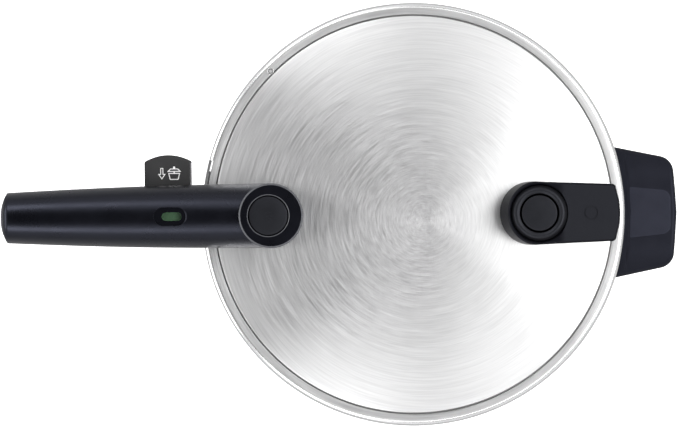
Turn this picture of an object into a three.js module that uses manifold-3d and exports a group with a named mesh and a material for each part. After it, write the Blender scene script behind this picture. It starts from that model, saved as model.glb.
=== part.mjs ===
// A steel stovetop pressure cooker: a straight-sided pot with an encapsulated base, a bayonet lid with a silicone
// ring, a long pot grip under a long lid handle, a side grip, a release button with a sliding latch and a lock
// window in the lid handle, and a valve unit with a level collar and a pressure indicator on the lid.
// Millimetres, +Z up. The origin is the centre of the base, on the surface that the pot stands on. The handles point
// along -X, and the valve unit and the side grip along +X.
import * as THREE from "three";
import { mergeVertices } from "three/addons/utils/BufferGeometryUtils.js";
import Module from "manifold-3d";

const wasm = await Module();
wasm.setup();

// ---------------------------------------------------------------------------------------------- driving dimensions
// Clearances.
const SEAT_GAP = 0.3; // between two pieces that rest on each other
const SLIDE_GAP = 0.5; // between a moving piece and its guide
const TURN_GAP = 0.8; // between the lid's lugs and skirt and the pot's rim

// Pot.
const POT_INNER_RADIUS = 130;
const POT_DEPTH = 150;
const POT_WALL = 1.5;
const POT_CORNER_RADIUS = 14;
const BASE_CORE_THICKNESS = 5;
const BASE_CAP_SHEET = 0.8;
const BASE_CAP_HEIGHT = 5.6;
const BASE_INSET = 10.5; // from the outside of the pot in to the outside of the cap

// Rim and bayonet.
const FLANGE_WIDTH = 4.7;
const FLANGE_THICKNESS = 2.4;
const LUG_COUNT = 6;
const LUG_REACH = 3.6;
const LUG_THICKNESS = 2.8;
const POT_LUG_DEGREES = 27;
const LID_LUG_DEGREES = 25;

// Lid.
const LID_WALL = 1.9;
const RING_WIDTH = 8.6; // from the outside of the skirt to the crease where the dome begins
const CREASE_STEP = 1.2;
const CREASE_RUN = 0.6;
const DOME_RISE = 17;
const SKIRT_BELOW_LUG = 0.3;
const SEAL_HEIGHT = 5.4;
const SEAL_WIDTH = 9.6;
const RIM_RIVET_RADIUS = 2;
const RIM_RIVET_DEGREES = 135;
const RIM_WINDOW_DEGREES = [164.5, 176];

// Lid handle.
const HEAD_INSET = 46.4; // from the outside of the lid in to the centre of the handle's round head
const HANDLE_OVERHANG = 135.9;
const HEAD_RADIUS = 21.7;
const TIP_HALF_WIDTH = 16.8;
const TIP_BULGE = 4;
const HANDLE_WALL = 2.6;
const HANDLE_FLOOR = 2; // where it sits on the lid
const HANDLE_ABOVE_RIM = 4; // from the pot's rim up to the handle's flat underside
const HEAD_HEIGHT = 37; // from that underside up to the head's flat face
const TIP_DROP = 5;
const HEAD_STEP = 1.4;
const COVER_THICKNESS = 3.6;
const COUNTERBORE_DEPTH = 2;
const COVER_SCREW_BITE = 8;
const HANDLE_BOLT_RADIUS = 2.5;
const BOLT_SPACING = 0.6; // between a bolt's head and the float bush's flange
const BOLT_HEAD_RADIUS = 6;
const BOLT_HEAD_HEIGHT = 4;
const NUT_RADIUS = 4.7;
const WASHER_THICKNESS = 1.5;
const NUT_HEIGHT = 4;
const FLOAT_PIN_RADIUS = 2;
const FLOAT_COLLAR_RADIUS = 3;
const FLOAT_BUSH_RADIUS = 4.4;
const FLOAT_FLANGE_RADIUS = 6.6;
const FLOAT_TRAVEL = 3;

// Release button, latch and lock window.
const BUTTON_RADIUS = 13.3;
const BUTTON_OFFSET = 1.7; // the button sits a little outside the head's centre
const BUTTON_TRAVEL = 4;
const BUTTON_THICKNESS = 3.4;
const LATCH_TRAVEL = 8;
const LATCH_HALF_WIDTH = 6;
const LATCH_THICKNESS = 3;
const LATCH_BELOW_FACE = 16; // from the head's face down to the top of the latch
const WINDOW_OUT = 66.5; // from the head's centre
const WINDOW_LENGTH = 13.5;
const WINDOW_WIDTH = 5.6;
const WINDOW_DISH_LENGTH = 22.8;
const WINDOW_DISH_WIDTH = 13.8;
const WINDOW_DISH_DEPTH = 1.6;
const FLAG_WIDTH = 7.6;
const HOOK_LENGTH = 6;
const HOOK_WIDTH = 8;
const HOOK_DEPTH = 6; // below the pot grip's top

// Valve unit on the lid.
const UNIT_OUTER_INSET = 4; // from the outside of the lid in to the unit's outer end
const UNIT_LENGTH = 80.8;
const UNIT_RIM = 1.9; // the housing's rim round the collar's bore
const UNIT_OUTER_HALF_WIDTH = 19.2;
const UNIT_LEAN = 5.4; // the inner end leans this far over the unit's height
const UNIT_TOP = 41; // above the pot's rim, at the knob
const UNIT_OUTER_TOP = 31;
const UNIT_WALL = 2.6;
const KNOB_OUT = 26.5; // from the unit's inner end to the centre of the knob
const CAP_RADIUS = 12.7;
const COLLAR_WIDTH = 5.6;
const COLLAR_FALL = 3; // from the collar's crest down to its outer edge
const COLLAR_PROUD = 2.4;
const INDICATOR_TRAVEL = 5;
const VALVE_BODY_RADIUS = 6.8;
const VALVE_STEM_RADIUS = 2;
const VALVE_NUT_RADIUS = 11;
const SAFETY_PLUG_RADIUS = 4.6;
const SAFETY_FLANGE_RADIUS = 6.5;
const MARK_INSET = 19.8; // from the unit's outer end in to the middle of its mark

// Pot grip, its fittings and the placing tab.
const GRIP_HEIGHT = 33;
const GRIP_INSET = 1.2; // narrower than the lid handle, on each side
const GRIP_GAP = 1.4; // between the grip's top and the lid handle's underside
const GUARD_LENGTH = 10;
const GUARD_SHEET = 1;
const BRACKET_WIDTH = 14;
const BRACKET_HEIGHT = 10;
const BRACKET_LENGTH = 34;
const TAB_WIDTH = 32;
const TAB_REACH = 41.5; // from the handles' centre line to the top of the tab's arc
const TAB_ARC_RISE = 4.4;
const TAB_SHEET = 1.8;
const TAB_OUT = 69; // from the centre of the lid handle's head
const SCREW_RADIUS = 2;
const SCREW_HEAD_RADIUS = 3.6;
const SCREW_HEAD_HEIGHT = 1.6;

// Side grip.
const SIDE_HALF_WIDTH = 43.8;
const SIDE_TIP_HALF_WIDTH = 36.5;
const SIDE_REACH = 35.2; // past the outside of the lid
const SIDE_THICKNESS = 20;
const SIDE_BELOW_SKIRT = 3.6;
const SIDE_BRACKET_HALF_WIDTH = 16;
const SIDE_BRACKET_LENGTH = 20;
const SIDE_BRACKET_HEIGHT = 8;

// Facets.
const LATHE_SEGMENTS = 48;
const ROUND_SEGMENTS = 24;

// ------------------------------------------------------------------------------------------------ derived positions
const POT_OUTER_RADIUS = POT_INNER_RADIUS + POT_WALL;
const BASE_CAP_RADIUS = POT_OUTER_RADIUS - BASE_INSET;
const CORE_Z = BASE_CAP_SHEET + SEAT_GAP;
const FLOOR_Z = CORE_Z + BASE_CORE_THICKNESS + SEAT_GAP;
const INSIDE_FLOOR_Z = FLOOR_Z + POT_WALL;
const RIM_Z = INSIDE_FLOOR_Z + POT_DEPTH;
const FLANGE_RADIUS = POT_OUTER_RADIUS + FLANGE_WIDTH;
const POT_LUG_RADIUS = FLANGE_RADIUS + LUG_REACH;
const SKIRT_INNER_RADIUS = POT_LUG_RADIUS + TURN_GAP;
const LID_RADIUS = SKIRT_INNER_RADIUS + LID_WALL;
const CREASE_RADIUS = LID_RADIUS - RING_WIDTH;
const LID_LUG_INNER_RADIUS = FLANGE_RADIUS + TURN_GAP;
const LID_LUG_TOP_Z = RIM_Z - FLANGE_THICKNESS - TURN_GAP;
const SKIRT_BOTTOM_Z = LID_LUG_TOP_Z - LUG_THICKNESS - SKIRT_BELOW_LUG;
const SEAL_OUTER_RADIUS = SKIRT_INNER_RADIUS - 2 * SLIDE_GAP;
const SEAL_INNER_RADIUS = SEAL_OUTER_RADIUS - SEAL_WIDTH;
const SEAL_Z = RIM_Z + SEAT_GAP;
const RING_UNDER_Z = SEAL_Z + SEAL_HEIGHT + SEAT_GAP;
const RING_Z = RING_UNDER_Z + LID_WALL;
const DOME_EDGE_Z = RING_Z + CREASE_STEP;
const DOME_RADIUS = (CREASE_RADIUS ** 2 + DOME_RISE ** 2) / (2 * DOME_RISE);
const DOME_TOP_Z = DOME_EDGE_Z + DOME_RISE;

const HEAD_X = -(LID_RADIUS - HEAD_INSET);
const TIP_X = -(LID_RADIUS + HANDLE_OVERHANG);
const HANDLE_UNDER_Z = RIM_Z + HANDLE_ABOVE_RIM;
const HEAD_FACE_Z = HANDLE_UNDER_Z + HEAD_HEIGHT;
const CROWN_Z = HEAD_FACE_Z - HEAD_STEP;
const HANDLE_OUTSIDE_X = -(LID_RADIUS + SEAT_GAP); // where the handle leaves the lid
const BUTTON_X = HEAD_X - BUTTON_OFFSET;
const LATCH_TOP_Z = HEAD_FACE_Z - LATCH_BELOW_FACE;
const LATCH_UNDER_Z = LATCH_TOP_Z - LATCH_THICKNESS;
const WINDOW_X = HEAD_X - WINDOW_OUT;
const LATCH_INNER_X = HEAD_X + 5.5;

const RAMP_RISE = BUTTON_TRAVEL + 1; // height of the latch's ramp, whose slope is that of the two travels
const RAMP_RUN = (RAMP_RISE * LATCH_TRAVEL) / BUTTON_TRAVEL;
const RAMP_LOW_X = LATCH_INNER_X;
const RAMP_HIGH_X = RAMP_LOW_X - RAMP_RUN;
const FLOAT_X = RAMP_HIGH_X - 1.5 - (FLOAT_COLLAR_RADIUS + SLIDE_GAP) - LATCH_TRAVEL;
const BOLT_ASIDE = HEAD_RADIUS - HANDLE_WALL - NUT_RADIUS - 1.6;
const BOLT_FROM_FLOAT = FLOAT_FLANGE_RADIUS + BOLT_HEAD_RADIUS + BOLT_SPACING;
const HANDLE_BOLT_X = FLOAT_X - Math.sqrt(Math.max(0, BOLT_FROM_FLOAT ** 2 - BOLT_ASIDE ** 2));
const BOLT_YS = [-BOLT_ASIDE, BOLT_ASIDE];
const BOLT_RADIUS_OUT = Math.hypot(HANDLE_BOLT_X, BOLT_ASIDE); // from the lid's axis

const COLLAR_RADIUS = CAP_RADIUS + SLIDE_GAP + COLLAR_WIDTH;
const BORE_RADIUS = COLLAR_RADIUS + SLIDE_GAP + 0.1;
const UNIT_INNER_RADIUS = BORE_RADIUS + UNIT_RIM;
const UNIT_OUTER_X = LID_RADIUS - UNIT_OUTER_INSET;
const UNIT_INNER_X = UNIT_OUTER_X - UNIT_LENGTH;
const KNOB_X = UNIT_INNER_X + KNOB_OUT;
const UNIT_TOP_Z = RIM_Z + UNIT_TOP;
const UNIT_OUTER_TOP_Z = RIM_Z + UNIT_OUTER_TOP;
const MARK_X = UNIT_OUTER_X - MARK_INSET;
const PLUG_X = (KNOB_X + VALVE_NUT_RADIUS + SEAL_INNER_RADIUS) / 2;

const GRIP_TOP_Z = HANDLE_UNDER_Z - GRIP_GAP;
const GRIP_UNDER_Z = GRIP_TOP_Z - GRIP_HEIGHT;
const GUARD_TOP_Z = SKIRT_BOTTOM_Z - 1.6;
const GUARD_UNDER_Z = GRIP_UNDER_Z - 1;
const GUARD_INNER_X = -(POT_OUTER_RADIUS + SEAT_GAP);
const GUARD_OUTER_X = GUARD_INNER_X - GUARD_LENGTH;
const BRACKET_Z = (GUARD_TOP_Z + GUARD_UNDER_Z) / 2;
const GRIP_INNER_X = GUARD_OUTER_X - SEAT_GAP;
const GRIP_SCREW_X = GRIP_INNER_X - BRACKET_LENGTH + GUARD_LENGTH + 8;
const TAB_X = HEAD_X - TAB_OUT;
const TAB_Z = GRIP_TOP_Z - TAB_SHEET;
const HOOK_HALF = HOOK_LENGTH / 2;
const TAB_CORNER = Math.hypot(TAB_X - TAB_WIDTH / 2, TAB_REACH - TAB_ARC_RISE); // from the lid's axis
const HOOK_X = -(TAB_CORNER + TURN_GAP + SLIDE_GAP + HOOK_HALF); // swings clear of the placing tab
const HOOK_HALF_WIDTH = HOOK_WIDTH / 2;
const LATCH_OUTER_X = HOOK_X - HOOK_HALF - 3;

const SIDE_TOP_Z = SKIRT_BOTTOM_Z - SIDE_BELOW_SKIRT;
const SIDE_UNDER_Z = SIDE_TOP_Z - SIDE_THICKNESS;
const SIDE_TIP_X = LID_RADIUS + SIDE_REACH;
const SIDE_INNER_X = POT_OUTER_RADIUS + 2;
const SIDE_BRACKET_Z = SIDE_TOP_Z - SIDE_THICKNESS / 2;
const SIDE_SCREW_Y = SIDE_BRACKET_HALF_WIDTH - 5;
const SIDE_SCREW_X = SIDE_INNER_X + SIDE_BRACKET_LENGTH - 5;

// -------------------------------------------------------------------------------------------------------- materials
const look = (color, roughness, metalness) => new THREE.MeshStandardMaterial({ color, roughness, metalness });
const SATIN_STEEL = look(0xc8c9cb, 0.32, 1);
const BRIGHT_STEEL = look(0xd8d9dc, 0.18, 1);
const ALUMINIUM = look(0xb5b8bc, 0.4, 1);
const BLACK_GRIP = look(0x202126, 0.5, 0);
const BLACK_TRIM = look(0x2a2b30, 0.42, 0);
const DARK_TAB = look(0x434343, 0.45, 0.2);
const SILICONE = look(0xbfc2c4, 0.6, 0);
const LENS = look(0xdfe8e2, 0.1, 0);
const GREEN = look(0x4d7a53, 0.5, 0);
const RED = look(0xa83228, 0.5, 0);
const SPRING_STEEL = look(0x9b9da1, 0.3, 1);

// ------------------------------------------------------------------------------------------------------ solid tools
const root = new THREE.Group();

/** A three.js geometry as a manifold-3d solid. */
function solid(geometry) {
  const bare = geometry.index ? geometry.toNonIndexed() : geometry.clone();
  const points = new THREE.BufferGeometry().setAttribute("position", bare.getAttribute("position"));
  const merged = mergeVertices(points, 1e-4);
  const mesh = new wasm.Mesh({
    numProp: 3,
    vertProperties: new Float32Array(merged.attributes.position.array),
    triVerts: new Uint32Array(merged.index.array),
  });
  return new wasm.Manifold(mesh);
}

/** A manifold-3d solid as a flat-shaded three.js geometry. */
function geometryOf(body) {
  const mesh = body.getMesh();
  const places = new Float32Array(mesh.numVert * 3);
  for (let i = 0; i < mesh.numVert; i++) {
    places.set(mesh.vertProperties.subarray(i * mesh.numProp, i * mesh.numProp + 3), i * 3);
  }
  const geometry = new THREE.BufferGeometry()
    .setAttribute("position", new THREE.BufferAttribute(places, 3))
    .setIndex(new THREE.BufferAttribute(mesh.triVerts, 1))
    .toNonIndexed();
  geometry.computeVertexNormals();
  return geometry;
}

/** Adds a named piece to the object. */
function piece(name, body, material) {
  const mesh = new THREE.Mesh(geometryOf(body), material);
  mesh.name = name;
  root.add(mesh);
}

/** A solid of revolution about a vertical line through (x, y), from a counterclockwise profile of [radius, z]. */
function turned(profile, { x = 0, y = 0, segments = ROUND_SEGMENTS } = {}) {
  const points = profile.map(([radius, z]) => new THREE.Vector2(radius, z));
  const onAxis = profile[0][0] === 0;
  if (!onAxis) {
    points.push(points[0].clone());
  }
  const geometry = new THREE.LatheGeometry(points, segments);
  geometry.rotateX(Math.PI / 2);
  geometry.translate(x, y, 0);
  return solid(geometry);
}

/** An upright cylinder from z0 to z1. */
const rod = (radius, z0, z1, place = {}) => turned([[0, z0], [radius, z0], [radius, z1], [0, z1]], place);

/** An upright tube from z0 to z1. */
const tube = (inner, outer, z0, z1, place = {}) =>
  turned([[inner, z0], [outer, z0], [outer, z1], [inner, z1]], place);

/** A plan outline pulled up from z0 to z1. */
function raised(shape, z0, z1, curveSegments = 8) {
  const geometry = new THREE.ExtrudeGeometry(shape, { depth: z1 - z0, bevelEnabled: false, curveSegments });
  geometry.translate(0, 0, z0);
  return solid(geometry);
}

/** A side outline of [x, z] pulled across from y0 to y1. */
function across(shape, y0, y1, curveSegments = 8) {
  const geometry = new THREE.ExtrudeGeometry(shape, { depth: y1 - y0, bevelEnabled: false, curveSegments });
  geometry.rotateX(Math.PI / 2);
  geometry.translate(0, y1, 0);
  return solid(geometry);
}

/** A box from its lowest corner to its highest. */
function block(low, high) {
  const size = high.map((value, i) => value - low[i]);
  const geometry = new THREE.BoxGeometry(...size);
  geometry.translate(...low.map((value, i) => value + size[i] / 2));
  return solid(geometry);
}

/** A closed outline through straight points. */
function outline(points) {
  return new THREE.Shape(points.map(([a, b]) => new THREE.Vector2(a, b)));
}

/** A slot outline with round ends, centred on (x, y) and lying along X. */
function slotOutline(x, y, length, width) {
  const reach = (length - width) / 2;
  const shape = new THREE.Shape();
  shape.absarc(x + reach, y, width / 2, -Math.PI / 2, Math.PI / 2, false);
  shape.absarc(x - reach, y, width / 2, Math.PI / 2, 1.5 * Math.PI, false);
  return shape;
}

/** A flat sector of a ring about the lid's axis, from one radius to another and one angle to another. */
function ringSector(inner, outer, fromDegrees, toDegrees, z0, z1) {
  const [from, to] = [fromDegrees, toDegrees].map(THREE.MathUtils.degToRad);
  const shape = new THREE.Shape();
  shape.absarc(0, 0, outer, from, to, false);
  shape.absarc(0, 0, inner, to, from, true);
  return raised(shape, z0, z1, 5);
}

/** A coil of wire from one end to the other of a straight line, along Z from z0 to z1 unless it is turned. */
function coil(radius, wire, length, turns) {
  const points = [];
  const steps = turns * 10;
  for (let i = 0; i <= steps; i++) {
    const angle = (i / steps) * turns * 2 * Math.PI;
    const rise = wire + (i / steps) * (length - 2 * wire);
    points.push(new THREE.Vector3(radius * Math.cos(angle), radius * Math.sin(angle), rise));
  }
  const section = new THREE.Shape();
  section.absarc(0, 0, wire, 0, 2 * Math.PI, false);
  return new THREE.ExtrudeGeometry(section, {
    steps,
    curveSegments: 3,
    bevelEnabled: false,
    extrudePath: new THREE.CatmullRomCurve3(points),
  });
}

// ------------------------------------------------------------------------------------------------------- the lid's top
/** The height of the dome's top surface at a radius. */
const domeZ = (radius) => DOME_TOP_Z - DOME_RADIUS + Math.sqrt(DOME_RADIUS ** 2 - radius ** 2);

const DOME_STEPS = 5;
const domeRadii = Array.from({ length: DOME_STEPS + 1 }, (_, i) => (CREASE_RADIUS * i) / DOME_STEPS);

/** Everything under a surface that lies `lift` above the lid's outside, for cutting what sits on the lid. */
function underLid(lift) {
  const top = domeRadii.map((radius) => [radius, domeZ(radius) + lift]).reverse();
  const edge = LID_RADIUS + Math.max(lift, SEAT_GAP);
  return turned(
    [[0, 0], [edge, 0], [edge, RING_Z + lift], [CREASE_RADIUS + CREASE_RUN + lift, RING_Z + lift], ...top],
    { segments: LATHE_SEGMENTS },
  );
}

/** The angle at the middle of each pair of bayonet lugs. */
const lugAngles = Array.from({ length: LUG_COUNT }, (_, i) => (i * 360) / LUG_COUNT);

// -------------------------------------------------------------------------------------------------------------- pot
/** Points of a quarter arc, from one angle to another, for a turned profile. */
function arc(x, z, radius, fromDegrees, toDegrees, steps) {
  return Array.from({ length: steps + 1 }, (_, i) => {
    const angle = THREE.MathUtils.degToRad(fromDegrees + ((toDegrees - fromDegrees) * i) / steps);
    return [x + radius * Math.cos(angle), z + radius * Math.sin(angle)];
  });
}

function potShell() {
  const corner = POT_CORNER_RADIUS;
  const cornerX = POT_OUTER_RADIUS - corner;
  const cornerZ = FLOOR_Z + corner;
  let body = turned(
    [
      [0, FLOOR_Z],
      ...arc(cornerX, cornerZ, corner, -90, 0, 5),
      [POT_OUTER_RADIUS, RIM_Z - FLANGE_THICKNESS - 3],
      [POT_OUTER_RADIUS + 1.5, RIM_Z - FLANGE_THICKNESS],
      [FLANGE_RADIUS, RIM_Z - FLANGE_THICKNESS],
      [FLANGE_RADIUS, RIM_Z],
      [POT_INNER_RADIUS + 1, RIM_Z],
      [POT_INNER_RADIUS, RIM_Z - 1.5],
      ...arc(cornerX, cornerZ, corner - POT_WALL, 0, -90, 5),
      [0, INSIDE_FLOOR_Z],
    ],
    { segments: LATHE_SEGMENTS },
  );
  for (const angle of lugAngles) {
    const half = POT_LUG_DEGREES / 2;
    const z0 = RIM_Z - FLANGE_THICKNESS;
    body = body.add(ringSector(FLANGE_RADIUS - 1, POT_LUG_RADIUS, angle - half, angle + half, z0, RIM_Z));
  }
  return body;
}

function baseCap() {
  const inner = BASE_CAP_RADIUS - BASE_CAP_SHEET;
  return turned(
    [
      [0, 0],
      [BASE_CAP_RADIUS - 1.6, 0],
      [BASE_CAP_RADIUS, 1.6],
      [BASE_CAP_RADIUS, BASE_CAP_HEIGHT],
      [inner, BASE_CAP_HEIGHT],
      [inner, BASE_CAP_SHEET],
      [0, BASE_CAP_SHEET],
    ],
    { segments: LATHE_SEGMENTS },
  );
}

const baseCore = () =>
  rod(BASE_CAP_RADIUS - BASE_CAP_SHEET - SEAT_GAP, CORE_Z, CORE_Z + BASE_CORE_THICKNESS, {
    segments: LATHE_SEGMENTS,
  });

// -------------------------------------------------------------------------------------------------------------- lid
function lidShell() {
  const top = domeRadii.map((radius) => [radius, domeZ(radius)]).reverse();
  const under = domeRadii.slice(0, -1).map((radius) => [radius, domeZ(radius) - LID_WALL]);
  const shoulder = 3;
  let body = turned(
    [
      ...under,
      [CREASE_RADIUS - 2, domeZ(CREASE_RADIUS - 2) - LID_WALL],
      [CREASE_RADIUS, RING_UNDER_Z],
      [SKIRT_INNER_RADIUS, RING_UNDER_Z],
      [SKIRT_INNER_RADIUS, SKIRT_BOTTOM_Z],
      [LID_RADIUS, SKIRT_BOTTOM_Z],
      ...arc(LID_RADIUS - shoulder, RING_Z - shoulder, shoulder, 0, 90, 3),
      [CREASE_RADIUS + CREASE_RUN, RING_Z],
      ...top,
    ],
    { segments: LATHE_SEGMENTS },
  );
  for (const angle of lugAngles) {
    const half = LID_LUG_DEGREES / 2;
    const outer = SKIRT_INNER_RADIUS + LID_WALL / 2;
    const lug = ringSector(
      LID_LUG_INNER_RADIUS,
      outer,
      angle - half,
      angle + half,
      SKIRT_BOTTOM_Z + SKIRT_BELOW_LUG,
      LID_LUG_TOP_Z,
    );
    body = body.add(lug);
  }
  const window = ringSector(
    SKIRT_INNER_RADIUS - 1,
    LID_RADIUS + 2,
    ...RIM_WINDOW_DEGREES,
    SEAL_Z + 1.5,
    RING_Z + 2,
  );
  body = body.subtract(window);
  for (const [x, radius] of [
    [FLOAT_X, FLOAT_BUSH_RADIUS],
    [KNOB_X, VALVE_BODY_RADIUS],
    [PLUG_X, SAFETY_PLUG_RADIUS],
  ]) {
    body = body.subtract(rod(radius + SEAT_GAP, RIM_Z, DOME_TOP_Z + 5, { x }));
  }
  for (const y of BOLT_YS) {
    body = body.subtract(rod(HANDLE_BOLT_RADIUS + SEAT_GAP, RIM_Z, DOME_TOP_Z + 5, { x: HANDLE_BOLT_X, y }));
  }
  return body.subtract(rimRivetHole());
}

const RIVET_PLACE = (() => {
  const radius = CREASE_RADIUS + 3.2;
  const angle = THREE.MathUtils.degToRad(RIM_RIVET_DEGREES);
  return { x: radius * Math.cos(angle), y: radius * Math.sin(angle), segments: 16 };
})();

const rimRivetHole = () => rod(RIM_RIVET_RADIUS * 0.5 + SEAT_GAP, RING_UNDER_Z - 2, RING_Z + 2, RIVET_PLACE);

function rimRivet() {
  const shank = RIM_RIVET_RADIUS * 0.5;
  const head = RING_Z + SEAT_GAP;
  return turned(
    [
      [0, RING_UNDER_Z],
      [shank, RING_UNDER_Z],
      [shank, head],
      [RIM_RIVET_RADIUS, head],
      [RIM_RIVET_RADIUS, head + 0.5],
      [RIM_RIVET_RADIUS * 0.7, head + 0.8],
      [0, head + 0.6],
    ],
    RIVET_PLACE,
  );
}

/** The silicone ring, with a lip on its inner edge that the steam presses up and down. */
function seal() {
  const outer = SEAL_OUTER_RADIUS;
  const inner = SEAL_INNER_RADIUS;
  const top = SEAL_Z + SEAL_HEIGHT;
  const middle = SEAL_Z + SEAL_HEIGHT / 2;
  return turned(
    [
      [inner, SEAL_Z],
      [outer - 0.8, SEAL_Z],
      [outer, SEAL_Z + 0.8],
      [outer, top - 0.8],
      [outer - 0.8, top],
      [inner, top],
      [inner, top - 1.2],
      [inner + 4, middle],
      [inner, SEAL_Z + 1.2],
    ],
    { segments: LATHE_SEGMENTS },
  );
}

// ------------------------------------------------------------------------------------------------------- lid handle
/** Half the lid handle's width at x. */
const halfWidth = (x) => THREE.MathUtils.lerp(HEAD_RADIUS, TIP_HALF_WIDTH, (HEAD_X - x) / (HEAD_X - TIP_X));

/** The handle's outline in plan, `inset` inside its outside, from the tip to the round head or to `endX`. */
function handlePlan(inset, endX = null) {
  const tip = TIP_X + inset;
  const corner = tip + TIP_BULGE;
  const side = halfWidth(corner) - inset;
  const shape = new THREE.Shape();
  if (endX === null) {
    const radius = HEAD_RADIUS - inset;
    shape.absarc(HEAD_X, 0, radius, -Math.PI / 2, Math.PI / 2, false);
  } else {
    shape.moveTo(endX, -(halfWidth(endX) - inset));
    shape.lineTo(endX, halfWidth(endX) - inset);
  }
  shape.lineTo(corner, side);
  shape.quadraticCurveTo(tip - TIP_BULGE * 0.75, 0, corner, -side);
  return shape;
}

/** A barrel with an elliptical crown, from x0 to x1, `inset` inside the handle's crown and sides. */
function barrel(inset, underZ, x0, x1) {
  const sideZ = HANDLE_UNDER_Z + HEAD_HEIGHT * 0.3;
  const crown = CROWN_Z - inset;
  const half = HEAD_RADIUS - inset;
  const section = new THREE.Shape();
  section.moveTo(-half, underZ);
  section.lineTo(half, underZ);
  section.lineTo(half, sideZ);
  section.absellipse(0, sideZ, half, crown - sideZ, 0, Math.PI, false);
  const geometry = new THREE.ExtrudeGeometry(section, {
    depth: x1 - x0,
    curveSegments: 10,
    bevelEnabled: false,
  });
  geometry.rotateX(Math.PI / 2);
  geometry.rotateZ(Math.PI / 2);
  geometry.translate(x0, 0, 0);
  const place = geometry.getAttribute("position");
  for (let i = 0; i < place.count; i++) {
    const x = place.getX(i);
    const share = (HEAD_X - x) / (HEAD_X - TIP_X);
    const lower = 1 - (share * TIP_DROP) / (CROWN_Z - sideZ);
    const z = place.getZ(i);
    place.setY(i, (place.getY(i) * (halfWidth(x) - inset)) / half);
    place.setZ(i, z > sideZ ? sideZ + (z - sideZ) * lower : z);
  }
  return solid(geometry);
}

const BUTTON_WELL_Z = HEAD_FACE_Z - 11;
const LEDGE_UNDER_Z = BUTTON_WELL_Z - 2;
const WEDGE_OUTER_X = RAMP_HIGH_X + 1.5;
const WEDGE_INNER_X = RAMP_LOW_X + 2;
const WEDGE_HALF_WIDTH = 3;
const WEDGE_UNDER_Z = LATCH_TOP_Z + 1;
const SPRING_RIB_X = LATCH_OUTER_X - LATCH_TRAVEL - 12;
const SPRING_Z = LATCH_TOP_Z - LATCH_THICKNESS / 2;
const CROWN_AT_WINDOW_Z = CROWN_Z - TIP_DROP * (WINDOW_OUT / (HEAD_X - TIP_X));
const DISH_Z = CROWN_AT_WINDOW_Z - WINDOW_DISH_DEPTH;

function handleShell() {
  const head = rod(HEAD_RADIUS, HANDLE_UNDER_Z, HEAD_FACE_Z, { x: HEAD_X, segments: 36 });
  const long = barrel(0, HANDLE_UNDER_Z, TIP_X - 5, HEAD_X);
  let body = long.intersect(raised(handlePlan(0), HANDLE_UNDER_Z - 1, HEAD_FACE_Z + 1, 10)).add(head);
  body = body.subtract(underLid(SEAT_GAP));

  const hollow = barrel(HANDLE_WALL, HANDLE_UNDER_Z - 5, TIP_X - 5, HEAD_X);
  const plan = raised(handlePlan(HANDLE_WALL), HANDLE_UNDER_Z - 5, LEDGE_UNDER_Z, 6);
  const headHollow = rod(HEAD_RADIUS - HANDLE_WALL, HANDLE_UNDER_Z, LEDGE_UNDER_Z, { x: HEAD_X });
  const tall = raised(
    handlePlan(HANDLE_WALL, HEAD_X - HEAD_RADIUS - 1),
    HANDLE_UNDER_Z - 5,
    HEAD_FACE_Z,
    6,
  );
  let cavity = hollow.intersect(plan.add(tall)).add(headHollow);
  cavity = cavity.subtract(underLid(SEAT_GAP + HANDLE_FLOOR));
  body = body.subtract(cavity);

  body = body.subtract(rod(BUTTON_RADIUS + SLIDE_GAP, BUTTON_WELL_Z, HEAD_FACE_Z + 1, { x: BUTTON_X }));
  body = body.subtract(
    block(
      [RAMP_HIGH_X - LATCH_TRAVEL - 1, -WEDGE_HALF_WIDTH - 1, LEDGE_UNDER_Z - 1],
      [WEDGE_INNER_X + 1.5, WEDGE_HALF_WIDTH + 1, BUTTON_WELL_Z + 1],
    ),
  );
  body = body.subtract(rod(FLOAT_BUSH_RADIUS + SEAT_GAP, RIM_Z, LATCH_UNDER_Z - 1, { x: FLOAT_X }));
  for (const y of BOLT_YS) {
    body = body.subtract(rod(HANDLE_BOLT_RADIUS + SEAT_GAP, RIM_Z, LATCH_UNDER_Z - 1, { x: HANDLE_BOLT_X, y }));
  }

  // Inside: a seat for the window, a rib for the latch spring, and two posts for the cover's screws.
  const inside = HEAD_RADIUS - HANDLE_WALL;
  const seat = slotOutline(WINDOW_X, 0, WINDOW_DISH_LENGTH + 4, WINDOW_DISH_WIDTH + 4);
  const rib = block(
    [SPRING_RIB_X - 2, -inside, LATCH_UNDER_Z - 4],
    [SPRING_RIB_X, inside, CROWN_AT_WINDOW_Z],
  );
  const keep = barrel(0.5, HANDLE_UNDER_Z, TIP_X, HEAD_X).intersect(
    raised(handlePlan(0.5), HANDLE_UNDER_Z, HEAD_FACE_Z, 10),
  );
  body = body.add(rib.intersect(keep)).add(raised(seat, DISH_Z - HANDLE_WALL, CROWN_Z).intersect(keep));
  for (const x of COVER_SCREW_XS) {
    const post = tube(SCREW_RADIUS, SCREW_RADIUS + 2, COVER_TOP_Z + SEAT_GAP, CROWN_Z, { x, segments: 16 });
    body = body.add(post.intersect(keep));
  }
  const dish = slotOutline(WINDOW_X, 0, WINDOW_DISH_LENGTH, WINDOW_DISH_WIDTH);
  const hole = slotOutline(WINDOW_X, 0, WINDOW_LENGTH, WINDOW_WIDTH);
  return body
    .subtract(raised(dish, DISH_Z, HEAD_FACE_Z + 5))
    .subtract(raised(hole, LATCH_TOP_Z, HEAD_FACE_Z));
}

const COVER_TOP_Z = HANDLE_UNDER_Z + COVER_THICKNESS;
const COVER_INNER_X = HANDLE_OUTSIDE_X - HANDLE_WALL;
const COVER_SCREW_XS = [TIP_X + 18, SPRING_RIB_X - 10];

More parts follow.
